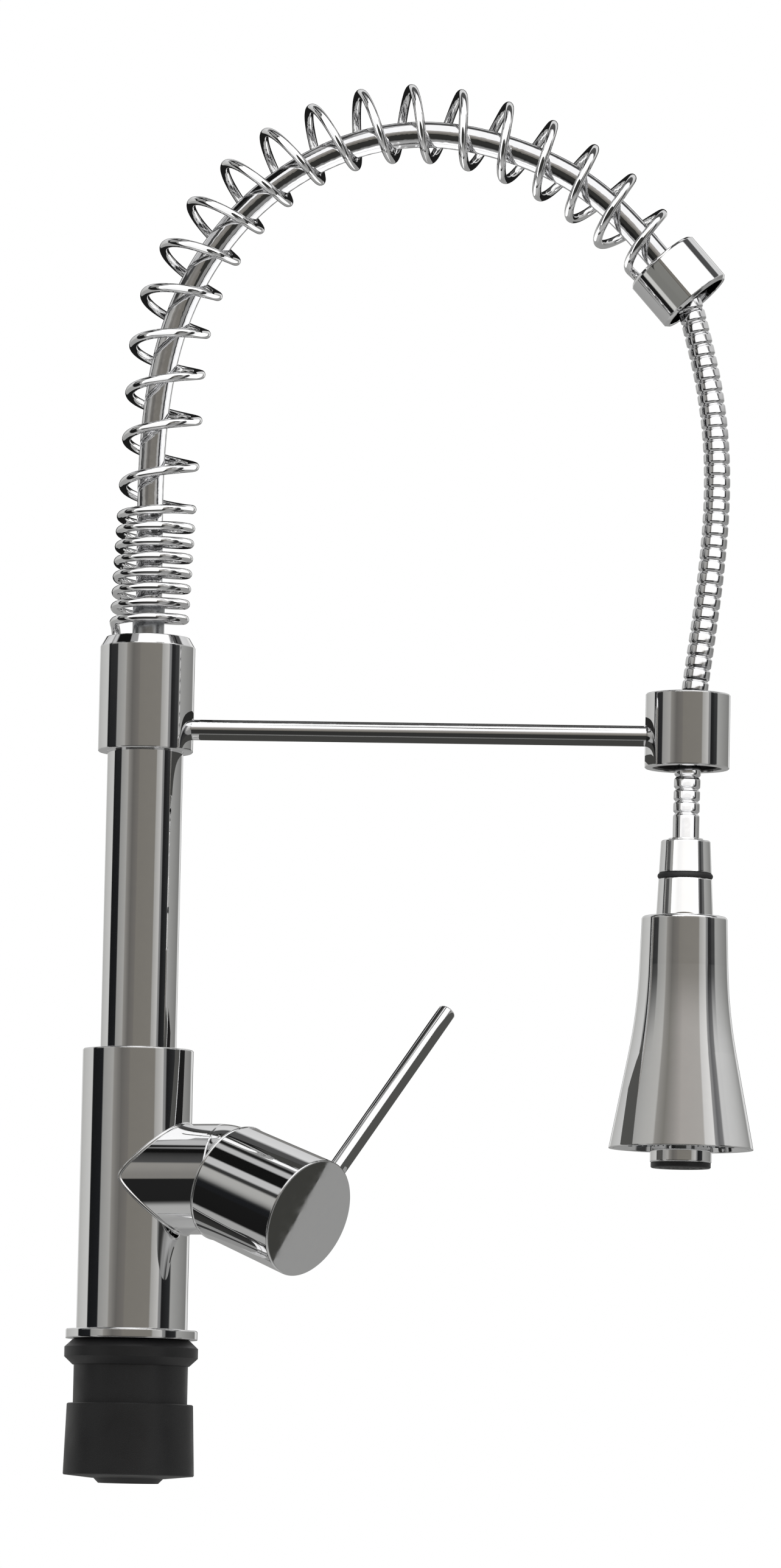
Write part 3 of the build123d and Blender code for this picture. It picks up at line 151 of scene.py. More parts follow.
def new_tree(name, numbers):
    """A geometry tree with a geometry and named number inputs, and its group input and output."""
    tree = bpy.data.node_groups.new(name, "GeometryNodeTree")
    tree.interface.new_socket("Geometry", in_out="INPUT", socket_type="NodeSocketGeometry")
    for number in numbers:
        tree.interface.new_socket(number, in_out="INPUT", socket_type="NodeSocketFloat")
    tree.interface.new_socket("Finish", in_out="INPUT", socket_type="NodeSocketMaterial")
    tree.interface.new_socket("Geometry", in_out="OUTPUT", socket_type="NodeSocketGeometry")
    return tree, add(tree, "NodeGroupInput").outputs, add(tree, "NodeGroupOutput")


def end_tree(tree, shape, given, end):
    """Close a geometry tree: smooth, realised and finished."""
    smooth = add(tree, "GeometryNodeSetShadeSmooth", [shape])
    plain = add(tree, "GeometryNodeRealizeInstances", [smooth])
    finished = add(tree, "GeometryNodeSetMaterial", {
        "Geometry": plain, "Material": given["Finish"]})
    tree.links.new(finished.outputs[0], end.inputs[0])


def ribbed_hose_tree():
    """Ribs along a hose: a tube whose radius dips once a pitch, between two plain ends."""
    tree, given, end = new_tree(
        "ribbed_hose", (
            "Radius", "Rib Pitch", "Rib Depth", "Groove Share", "Plain End", "Rings per Rib"))
    length = add(tree, "GeometryNodeCurveLength", [given["Geometry"]])
    rings = add(tree, "ShaderNodeMath", [
        add(tree, "ShaderNodeMath", [length, given["Rib Pitch"]], operation="DIVIDE"),
        given["Rings per Rib"]], operation="MULTIPLY")
    line = add(tree, "GeometryNodeResampleCurve", {"Curve": given["Geometry"], "Count": rings})
    travel = add(tree, "GeometryNodeSplineParameter").outputs["Length"]
    past = add(tree, "ShaderNodeMath", [travel, given["Plain End"]], operation="SUBTRACT")
    ahead = add(tree, "ShaderNodeMath", [
        add(tree, "ShaderNodeMath", [length, travel], operation="SUBTRACT"),
        given["Plain End"]], operation="SUBTRACT")
    inside = add(tree, "ShaderNodeMath", [
        add(tree, "ShaderNodeMath", [past, ahead], operation="MINIMUM"), 0.0],
        operation="GREATER_THAN")
    phase = add(tree, "ShaderNodeMath", [
        add(tree, "ShaderNodeMath", [past, given["Rib Pitch"]], operation="DIVIDE")],
        operation="FRACT")
    off = add(tree, "ShaderNodeMath", [
        add(tree, "ShaderNodeMath", [phase, 0.5], operation="SUBTRACT")], operation="ABSOLUTE")
    notch = add(tree, "ShaderNodeMapRange", {
        "Value": off, "From Max": given["Groove Share"], "To Min": 1.0, "To Max": 0.0},
        interpolation_type="SMOOTHSTEP")
    # Between the narrow grooves the ribs are slightly crowned
    crown_share = 0.12
    crown = add(tree, "ShaderNodeMath", [
        add(tree, "ShaderNodeMath", [off, -2.0, 1.0], operation="MULTIPLY_ADD"), 2.0],
        operation="POWER")
    dip = add(tree, "ShaderNodeMath", [crown, crown_share, notch], operation="MULTIPLY_ADD")
    groove = add(tree, "ShaderNodeMath", [dip, inside], operation="MULTIPLY")
    depth = add(tree, "ShaderNodeMath", [
        add(tree, "ShaderNodeMath", [groove, given["Rib Depth"]], operation="MULTIPLY"),
        given["Radius"]], operation="DIVIDE")
    size = add(tree, "ShaderNodeMath", [1.0, depth], operation="SUBTRACT")
    ring = add(tree, "GeometryNodeCurvePrimitiveCircle", {
        "Resolution": 40, "Radius": given["Radius"]})
    tube = add(tree, "GeometryNodeCurveToMesh", {
        "Curve": line, "Profile Curve": ring, "Scale": size, "Fill Caps": True})
    end_tree(tree, tube, given, end)
    return tree


def make_free_hose(finish):
    """The ribbed hose that hangs from the ferrule and slides through the holder."""
    route = curve_piece("hose_route", [HOSE_ROUTE], "NURBS")
    line = bpy.data.meshes.new_from_object(route)
    give_nodes(route, ribbed_hose_tree(), {
        "Radius": 5.75 * MM, "Rib Pitch": 5.3 * MM, "Rib Depth": 0.75 * MM,
        "Groove Share": 0.2, "Plain End": 8.0 * MM, "Rings per Rib": 16.0, "Finish": finish})
    hose = evaluated_mesh(route, "free_hose")
    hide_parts("hose_drop")
    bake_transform(hose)
    return hose


# Materials. Their patterns' scales are in cells to the metre, so that 240 is one in 4 mm.
def new_material(name):
    """An empty material and its tree."""
    material = bpy.data.materials.new(name)
    material.use_nodes = True
    material.node_tree.nodes.clear()
    return material, material.node_tree


def mirror_metal(name, colour, smooth, dull, grain, wave, wave_height, edge=0.0):
    """A plated mirror surface: faint smears in its gloss, a slight waviness, soft edges."""
    material, tree = new_material(name)
    place = add(tree, "ShaderNodeTexCoord").outputs["Object"]
    smears = add(tree, "ShaderNodeTexNoise", {"Vector": place, "Scale": grain, "Detail": 4.0})
    gloss = add(tree, "ShaderNodeMapRange", {
        "Value": smears, "From Min": 0.35, "From Max": 0.7, "To Min": smooth, "To Max": dull})
    swell = add(tree, "ShaderNodeTexNoise", {"Vector": place, "Scale": wave, "Detail": 1.0})
    peel = add(tree, "ShaderNodeBump", {
        "Height": swell, "Strength": 1.0, "Distance": wave_height})
    if edge:
        turned = add(tree, "ShaderNodeBevel", {"Radius": edge}, samples=8)
        tree.links.new(turned.outputs[0], peel.inputs["Normal"])
    tint = add(tree, "ShaderNodeMix", {
        "Factor": smears.outputs[0], 6: linear(colour[0]), 7: linear(colour[1])},
        data_type="RGBA")
    shell = add(tree, "ShaderNodeBsdfPrincipled", {
        "Base Color": tint.outputs[2], "Metallic": 1.0, "Roughness": gloss, "Normal": peel})
    add(tree, "ShaderNodeOutputMaterial", [shell])
    return material


def polished_chrome():
    """Chrome plate on buffed brass: a bright neutral mirror with hardly any haze."""
    return mirror_metal(
        "polished_chrome", ("#f1f1f2", "#f6f6f6"), smooth=0.015, dull=0.04, grain=240.0,
        wave=70.0, wave_height=0.006 * MM, edge=0.8 * MM)


def chrome_spring_wire():
    """Chrome plate on drawn spring wire: a mirror, a little softer than a buffed casting."""
    return mirror_metal(
        "chrome_spring_wire", ("#f2f2f3", "#f8f8f8"), smooth=0.02, dull=0.05, grain=420.0,
        wave=260.0, wave_height=0.004 * MM)


def raw_brass():
    """Turned brass left bare: warm yellow with fine tool rings and duller patches."""
    return mirror_metal(
        "raw_brass", ("#c9a86a", "#d9bd80"), smooth=0.22, dull=0.38, grain=300.0,
        wave=900.0, wave_height=0.01 * MM)


def stainless_steel():
    """Stainless steel from the roll: a cool grey metal with a soft gloss."""
    return mirror_metal(
        "stainless_steel", ("#bfc1c4", "#cfd1d3"), smooth=0.18, dull=0.30, grain=260.0,
        wave=800.0, wave_height=0.008 * MM)


def arch_hose_skin():
    """Smooth polymer sleeve with a metallised skin: silver and glossy."""
    return mirror_metal(
        "arch_hose_skin", ("#e4e4e6", "#efeff0"), smooth=0.03, dull=0.08, grain=260.0,
        wave=120.0, wave_height=0.008 * MM)


def ribbed_hose_skin():
    """Ribbed polymer sleeve with a metallised skin: silver, softer than plating."""
    return mirror_metal(
        "ribbed_hose_skin", ("#e6e6e8", "#f2f2f3"), smooth=0.06, dull=0.12, grain=420.0,
        wave=300.0, wave_height=0.008 * MM)


def moulded(name, colours, smooth, dull, grain, grain_height):
    """A moulded material: cloudy colour, a fine texture and an uneven gloss."""
    material, tree = new_material(name)
    place = add(tree, "ShaderNodeTexCoord").outputs["Object"]
    clouds = add(tree, "ShaderNodeTexNoise", {"Vector": place, "Scale": 60.0, "Detail": 3.0})
    tint = add(tree, "ShaderNodeMix", {
        "Factor": clouds.outputs[0], 6: linear(colours[0]), 7: linear(colours[1])},
        data_type="RGBA")
    gloss = add(tree, "ShaderNodeMapRange", {
        "Value": clouds, "From Min": 0.3, "From Max": 0.7, "To Min": smooth, "To Max": dull})
    texture = add(tree, "ShaderNodeTexNoise", {"Vector": place, "Scale": grain, "Detail": 2.0})
    bump = add(tree, "ShaderNodeBump", {
        "Height": texture, "Strength": 1.0, "Distance": grain_height})
    shell = add(tree, "ShaderNodeBsdfPrincipled", {
        "Base Color": tint.outputs[2], "Roughness": gloss, "Normal": bump, "IOR": 1.5})
    add(tree, "ShaderNodeOutputMaterial", [shell])
    return material


def black_plastic():
    """Glass-filled nylon, moulded: near black with a fine spark texture."""
    return moulded(
        "black_plastic", ("#171718", "#202021"), smooth=0.38, dull=0.52, grain=2200.0,
        grain_height=0.04 * MM)


def white_acetal():
    """Acetal, moulded and turned: milky white and waxy."""
    return moulded(
        "white_acetal", ("#e6e5df", "#efeee9"), smooth=0.32, dull=0.42, grain=1500.0,
        grain_height=0.01 * MM)


def grey_plastic():
    """ABS, moulded: mid grey with an even satin."""
    return moulded(
        "grey_plastic", ("#8b8d90", "#96989b"), smooth=0.35, dull=0.45, grain=1800.0,
        grain_height=0.02 * MM)


def black_rubber():
    """Nitrile rubber: black and dull."""
    return moulded(
        "black_rubber", ("#161617", "#1e1e1f"), smooth=0.55, dull=0.7, grain=1600.0,
        grain_height=0.02 * MM)


def nozzle_rubber():
    """Silicone rubber: soft dark grey."""
    return moulded(
        "nozzle_rubber", ("#4a4c4e", "#56585a"), smooth=0.5, dull=0.62, grain=1600.0,
        grain_height=0.02 * MM)


def ceramic():
    """Lapped alumina ceramic: pinkish white and glossy."""
    return moulded(
        "ceramic", ("#ece6e2", "#f2eeea"), smooth=0.12, dull=0.2, grain=900.0,
        grain_height=0.004 * MM)


# Studio: white to the eye, with the panels and dark flags that the plating shows. Each stop is
# an angle in degrees and a colour, matched to tones that the photographed plating reflects. In
# the rings and the low wall the angle goes round the faucet, with 0 towards the camera and 90
# on the spray's side.
LOW_RING = (
    (-180, "#5c5b59"), (-170, "#4a4a49"), (-167, "#d6d6d5"), (-158, "#d2d2d1"),
    (-155, "#a8a8a6"), (-104, "#bdbdbb"), (-101.5, "#161718"), (-73, "#1b1c1e"),
    (-70.5, "#8c8c8a"), (-48, "#9c9b98"), (-45, "#82807c"), (-30, "#605e5b"),
    (-14, "#6b6864"), (-11, "#73706a"), (40, "#76736d"), (42, "#9a9996"),
    (59, "#b5b4b2"), (60.5, "#7c7c7c"), (65, "#7a7a7a"), (67, "#19191a"),
    (88, "#2a2b2c"), (90.5, "#979795"), (120, "#858583"), (149, "#747472"),
    (154, "#c8c8c7"), (167, "#d8d8d7"), (170, "#4a4a49"), (180, "#5c5b59"))
HIGH_RING = (
    (-180, "#7e7d7b"), (-170, "#6c6c6b"), (-167, "#dededd"), (-155, "#b8b8b8"),
    (-108, "#c3c3c2"), (-106, "#17181a"), (-98, "#17181a"), (-95, "#9c9c9a"),
    (-48, "#acaba8"), (-45, "#8a8884"), (-30, "#76746f"), (-14, "#8c8985"),
    (0, "#9f9b97"), (40, "#a29f9b"), (42, "#c4c3c1"), (59, "#d3d2d0"),
    (60.5, "#848484"), (65, "#7c7c7c"), (67, "#606061"), (76, "#757575"),
    (79, "#c0c0bf"), (150, "#c4c4c3"), (156, "#d8d8d7"), (167, "#dededd"),
    (170, "#6c6c6b"), (180, "#7e7d7b"))
# Below the horizon
LOW_WALL = (
    (-180, "#8f8f8e"), (-100, "#9c9c9b"), (-97, "#161616"), (-73, "#181818"),
    (-70, "#a6a6a5"), (-59, "#a2a2a1"), (-56, "#1d1d1d"), (-36, "#1f1f1f"),
    (-30, "#2c2c2b"), (30, "#333332"), (36, "#8a8a89"), (62, "#8c8c8b"),
    (65, "#333333"), (84, "#363636"), (88, "#8d8d8c"), (180, "#8f8f8e"))
# Over and under the faucet the angle is 0 towards the camera, 90 straight up and 180 behind
ROOF = (
    (25, "#ffffff"), (88, "#ffffff"), (93, "#474747"), (121, "#4c4c4c"), (126, "#cfcfcf"),
    (170, "#bebebe"))
PIT = (
    (-170, "#8f8f8e"), (-110, "#a8a8a7"), (-70, "#a2a2a1"), (-50, "#7a7a79"),
    (-30, "#3c3c3b"), (-3, "#242424"))
# High up on the side away from the spray the angle is a height, with 90 straight up. The near
# wall is the camera's half of it.
NEAR_WALL = (
    (20, "#464646"), (27, "#4c4c4c"), (40, "#3c3c3c"), (46, "#2c2c2c"), (48.5, "#101010"),
    (54.5, "#101010"), (57, "#8c8c8c"), (90, "#acacac"))
FAR_WALL = (
    (28, "#303030"), (33, "#343434"), (35.5, "#b8b8b8"), (43.5, "#b8b8b8"), (45.5, "#121212"),
    (60.5, "#121212"), (62.5, "#b0b0b0"), (67, "#b0b0b0"), (68.5, "#1c1c1c"),
    (70.5, "#1c1c1c"), (72.5, "#b4b4b4"), (90, "#b8b8b8"))


def studio_world():
    """White for the camera, even light for matt things, and the panels for plating."""
    world = bpy.data.worlds.new("studio")
    scene.world = world
    world.use_nodes = True
    tree = world.node_tree
    tree.nodes.clear()
    way = add(tree, "ShaderNodeTexCoord").outputs["Generated"]
    x, y, z = add(tree, "ShaderNodeSeparateXYZ", [way]).outputs
    toward = add(tree, "ShaderNodeMath", [y, -1.0], operation="MULTIPLY")
    angles = {
        "height": (add(tree, "ShaderNodeMath", [z], operation="ARCSINE"), pi / 2),
        "round": (add(tree, "ShaderNodeMath", [x, toward], operation="ARCTAN2"), pi),
        "over": (add(tree, "ShaderNodeMath", [z, toward], operation="ARCTAN2"), pi)}
    # Each panel's colours, graded by one of the angles
    places = {
        name: add(tree, "ShaderNodeMapRange", {
            "Value": angle, "From Min": -span, "From Max": span})
        for name, (angle, span) in angles.items()}
    panels = {
        name: grade(add(tree, "ShaderNodeValToRGB", [places[by]]), span, stops).outputs[0]
        for name, by, span, stops in (
            ("low ring", "round", 180, LOW_RING), ("high ring", "round", 180, HIGH_RING),
            ("roof", "over", 180, ROOF), ("pit", "over", 180, PIT),
            ("low wall", "round", 180, LOW_WALL), ("near wall", "height", 90, NEAR_WALL),
            ("far wall", "height", 90, FAR_WALL))}
    # Where one panel gives way to the next, between two angles in degrees
    edges = {
        name: add(tree, "ShaderNodeMapRange", {
            "Value": angles[by][0], "From Min": radians(first), "From Max": radians(last)},
            interpolation_type="SMOOTHSTEP")
        for name, by, first, last in (
            ("climb", "height", 5, 22), ("deep", "height", -42, -54),
            ("farther", "round", -62, -66), ("from front", "round", -35, -40),
            ("from back", "round", -122, -114), ("above", "height", 26, 30),
            ("below", "height", 0, -3))}
    edges["beside"] = add(tree, "ShaderNodeMath", [
        edges["from front"], edges["from back"]], operation="MULTIPLY")
    # Each join runs from its first panel to its second over an edge
    for name, edge, first, second in (
            ("ring", "climb", "low ring", "high ring"), ("ground", "deep", "low wall", "pit"),
            ("wall", "farther", "near wall", "far wall"), ("ceiling", "beside", "roof", "wall"),
            ("upper half", "above", "ring", "ceiling"),
            ("whole", "below", "upper half", "ground")):
        panels[name] = add(tree, "ShaderNodeMix", {
            "Factor": edges[edge].outputs[0], 6: panels[first], 7: panels[second]},
            data_type="RGBA").outputs[2]
    plated = add(tree, "ShaderNodeBackground", {"Color": panels["whole"], "Strength": 1.15})
    soft = add(tree, "ShaderNodeBackground", {"Color": linear("#ffffff"), "Strength": 0.82})
    white = add(tree, "ShaderNodeBackground", {"Color": linear("#ffffff"), "Strength": 1.0})
    ray = add(tree, "ShaderNodeLightPath").outputs
    light = add(tree, "ShaderNodeMixShader", [ray["Is Glossy Ray"], soft, plated])
    clear = add(tree, "ShaderNodeMath", [
        ray["Is Camera Ray"], ray["Is Transmission Ray"]], operation="MAXIMUM")
    seen = add(tree, "ShaderNodeMixShader", [clear, light, white])
    add(tree, "ShaderNodeOutputWorld", [seen])


def soft_lamp(name, place, target, size, power):
    """A large soft lamp that plating and the camera don't see."""
    light = bpy.data.lights.new(name, "AREA")
    light.shape = "DISK"
    light.size = size
    light.energy = power
    lamp = bpy.data.objects.new(name, light)
    lamp.location = place
    aim = Vector(target) - Vector(place)
    lamp.rotation_euler = aim.to_track_quat("-Z", "Y").to_euler()
    lamp.visible_camera = False
    lamp.visible_glossy = False
    scene.collection.objects.link(lamp)


def reflection_card(name, corners, faces, colour, seen_in=()):
    """A glowing card beside the faucet that only reflections show, in all pieces or in a few: a
    painted reflection, white, grey or dark.
    """
    material, tree = new_material(name)
    # The glow is a painted reflection in the plating and lights nothing
    glow = add(tree, "ShaderNodeEmission", {"Color": linear(colour)})
    if seen_in:
        glow = add(tree, "ShaderNodeAddShader", [glow, add(tree, "ShaderNodeBsdfTransparent")])
    add(tree, "ShaderNodeOutputMaterial", [glow])
    shape = bpy.data.meshes.new(name)
    shape.from_pydata(corners, [], faces)
    shape.materials.append(material)
    card = bpy.data.objects.new(name, shape)
    card.visible_camera = False
    card.visible_diffuse = False
    card.visible_shadow = False
    card.visible_transmission = False
    scene.collection.objects.link(card)
    if seen_in:
        card.light_linking.receiver_collection = bpy.data.collections.new(name)
        for piece in seen_in:
            card.light_linking.receiver_collection.objects.link(piece)


# The arch's straight run in metres, of which the spring's centre line has the two ends only
ARCH_FOOT = ((0, 0, 0.290), (0, 0, 0.318), (0.003, 0, 0.370))


def arch_card(name, low, near, wider, far, depth, colour, seen_in=()):
    """A card cut to the arch above a height, from its near edge out to its far edge.

    On the arch's rising side the near edge may lie further in. The height is in metres and
    the rest in millimetres, with a negative depth on the camera's side.
    """
    points = [Vector(point) for point in ARCH_FOOT] + spring_spine()[0][1:-1]
    points = [point for point in points if point.z > low]
    corners, faces = [], []
    for before, point, after in zip(points, points[1:], points[2:]):
        along = (after - before).normalized()
        out = Vector((-along.z, 0, along.x))
        for reach in (near + wider * max(0, -out.x), far):
            corners.append(point + (out * reach + Vector((0, depth, 0))) * MM)
        if len(corners) > 2:
            last = len(corners) - 1
            faces.append((last - 3, last - 2, last, last - 1))
    reflection_card(name, corners, faces, colour, seen_in)


# Flat cards, each a painted reflection in the plating: name, corners in millimetres, colour and
# the group of pieces that show it
FLAT_CARDS = (
    ("neck_card", ((212, -22, 190), (262, -22, 190), (262, -22, 250), (212, -22, 250)),
     "#f0f0f0", "neck"),
    ("hose_card", ((-130, -600, 325), (2200, -600, 325), (2200, -600, 800), (-130, -600, 800)),
     "#ffffff", "hose"),
    ("inner_card", ((110, -30, 345), (110, 110, 345), (110, 110, 470), (110, -30, 470)),
     "#f2f2f2", "arch"),
    # Dark painted reflections under and over the spout arm and the lever rod
    ("arm_card", ((23, -8, 257), (217, -8, 257), (217, 22, 257), (23, 22, 257)),
     "#434341", "all"),
    ("arm_lid", ((23, 1, 274), (217, 1, 274), (217, 30, 274), (23, 30, 274)),
     "#2a2a29", "all"),
    ("rod_card", ((107, -49, 84), (150, -5, 155), (134, 41, 135), (91, -3, 65)),
     "#525250", "all"),
    ("rod_lid", ((84, -23, 81), (127, 21, 152), (119, 47, 141), (75, 3, 70)),
     "#1e1e1e", "all"),
    # Grey and white painted reflections added to the ferrule only
    ("ferrule_grey_reflection", ((-267, -129, 300), (19, -489, 549), (210, -489, 330), (-76, -129, 81)),
     "#787874", "ferrule"),
    ("ferrule_card", ((78, -499, 600), (309, -415, 800), (499, -415, 582), (268, -499, 381)),
     "#ffffff", "ferrule"),
    # A dark painted reflection that crosses half of the lever hub's flat face
    ("face_card", ((402, 83, -19), (359, 77, -126), (384, 12, -132), (426, 18, -25)),
     "#3d3d3a", "all"),
)


def cards(hose, spring):
    """The glowing white, grey and dark cards round the plating: painted reflections that only the
    plating shows.
    """
    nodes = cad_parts
    shown_in = {
        "all": (),
        "neck": (hose, nodes["spray_neck"], nodes["neck_o_ring"], nodes["hose_end_fitting"]),
        "hose": (hose,),
        "arch": (spring, nodes["hose_arch"]),
        "ferrule": (nodes["spring_ferrule"],)}
    # Painted reflections on the arch: white seen in the spring only, dark over the crown in
    # front, dark behind
    arch_card("arch_card", low=0.28, near=-6, wider=-42, far=220, depth=-120,
              colour="#ffffff", seen_in=[spring])
    arch_card("arch_shade", low=0.48, near=-90, wider=0, far=-8, depth=-124,
              colour="#353533")
    arch_card("arch_back", low=0.28, near=-20, wider=0, far=48, depth=50, colour="#1c1c1c")
    for name, corners, colour, shown in FLAT_CARDS:
        reflection_card(name, [Vector(corner) * MM for corner in corners], [(0, 1, 2, 3)],
                        colour, shown_in[shown])


def studio_floor():
    """A plain pale floor under the faucet, which keeps its shadow and fades to white."""
    half, level, fade_start, fade_end = 30.0, -0.125, 0.7, 3.0
    material, tree = new_material("studio_floor")
    place = add(tree, "ShaderNodeTexCoord").outputs["Object"]
    matt = add(tree, "ShaderNodeBsdfDiffuse", {"Color": linear("#f6f6f5")})
    white = add(tree, "ShaderNodeEmission", {"Color": linear("#ffffff"), "Strength": 1.0})
    away = add(tree, "ShaderNodeVectorMath", [place], operation="LENGTH").outputs["Value"]
    ray = add(tree, "ShaderNodeLightPath").outputs
    clear = add(tree, "ShaderNodeMath", [
        ray["Is Camera Ray"], ray["Is Transmission Ray"]], operation="MAXIMUM")
    fade = add(tree, "ShaderNodeMapRange", {
        "Value": away, "From Min": fade_start, "From Max": fade_end},
        interpolation_type="SMOOTHSTEP")
    share = add(tree, "ShaderNodeMath", [fade, clear], operation="MULTIPLY")
    pale = add(tree, "ShaderNodeMixShader", [share, matt, white])
    below = add(tree, "ShaderNodeNewGeometry").outputs["Backfacing"]
    open_below = add(tree, "ShaderNodeMixShader", [
        below, pale, add(tree, "ShaderNodeBsdfTransparent")])
    add(tree, "ShaderNodeOutputMaterial", [open_below])
    shape = bpy.data.meshes.new("studio_floor")
    shape.from_pydata([(-half, -half, level), (half, -half, level), (half, half, level),
                       (-half, half, level)], [], [(0, 1, 2, 3)])
    shape.materials.append(material)
    floor = bpy.data.objects.new("studio_floor", shape)
    floor.visible_glossy = False
    scene.collection.objects.link(floor)


# Arch spring: its centre line in the arch's plane, in millimetres, with the crown's arcs each
# as a radius and a turn in degrees
SPRING_SEAT = 305.5
SPRING_LEAN = 2.5
SPRING_STRAIGHT = 120.6
CROWN = ((117.6, 52.6), (97.3, 43.9), (140.8, 40.0))
SPRING_TAIL = 16.0


def spring_spine():
    """Points of the spring's centre line: a leaning run, three arcs and a tail."""
    points_per_degree = 2
    lean = radians(SPRING_LEAN)
    place = Vector((0, 0, SPRING_SEAT))
    points = [place.copy()]
    place = place + Vector((sin(lean), 0, cos(lean))) * SPRING_STRAIGHT
    points.append(place.copy())
    heading = pi / 2 - lean
    for radius, turn in CROWN:
        centre = place + Vector((sin(heading), 0, -cos(heading))) * radius
        count = round(turn * points_per_degree)
        for step in range(1, count + 1):
            angle = heading - radians(turn) * step / count
            points.append(centre + Vector((-sin(angle), 0, cos(angle))) * radius)
        heading -= radians(turn)
        place = points[-1]
    tail = Vector((cos(heading), 0, sin(heading)))
    points.append(place + tail * SPRING_TAIL)
    length = sum((b - a).length for a, b in zip(points, points[1:]))
    return [point * MM for point in points], length


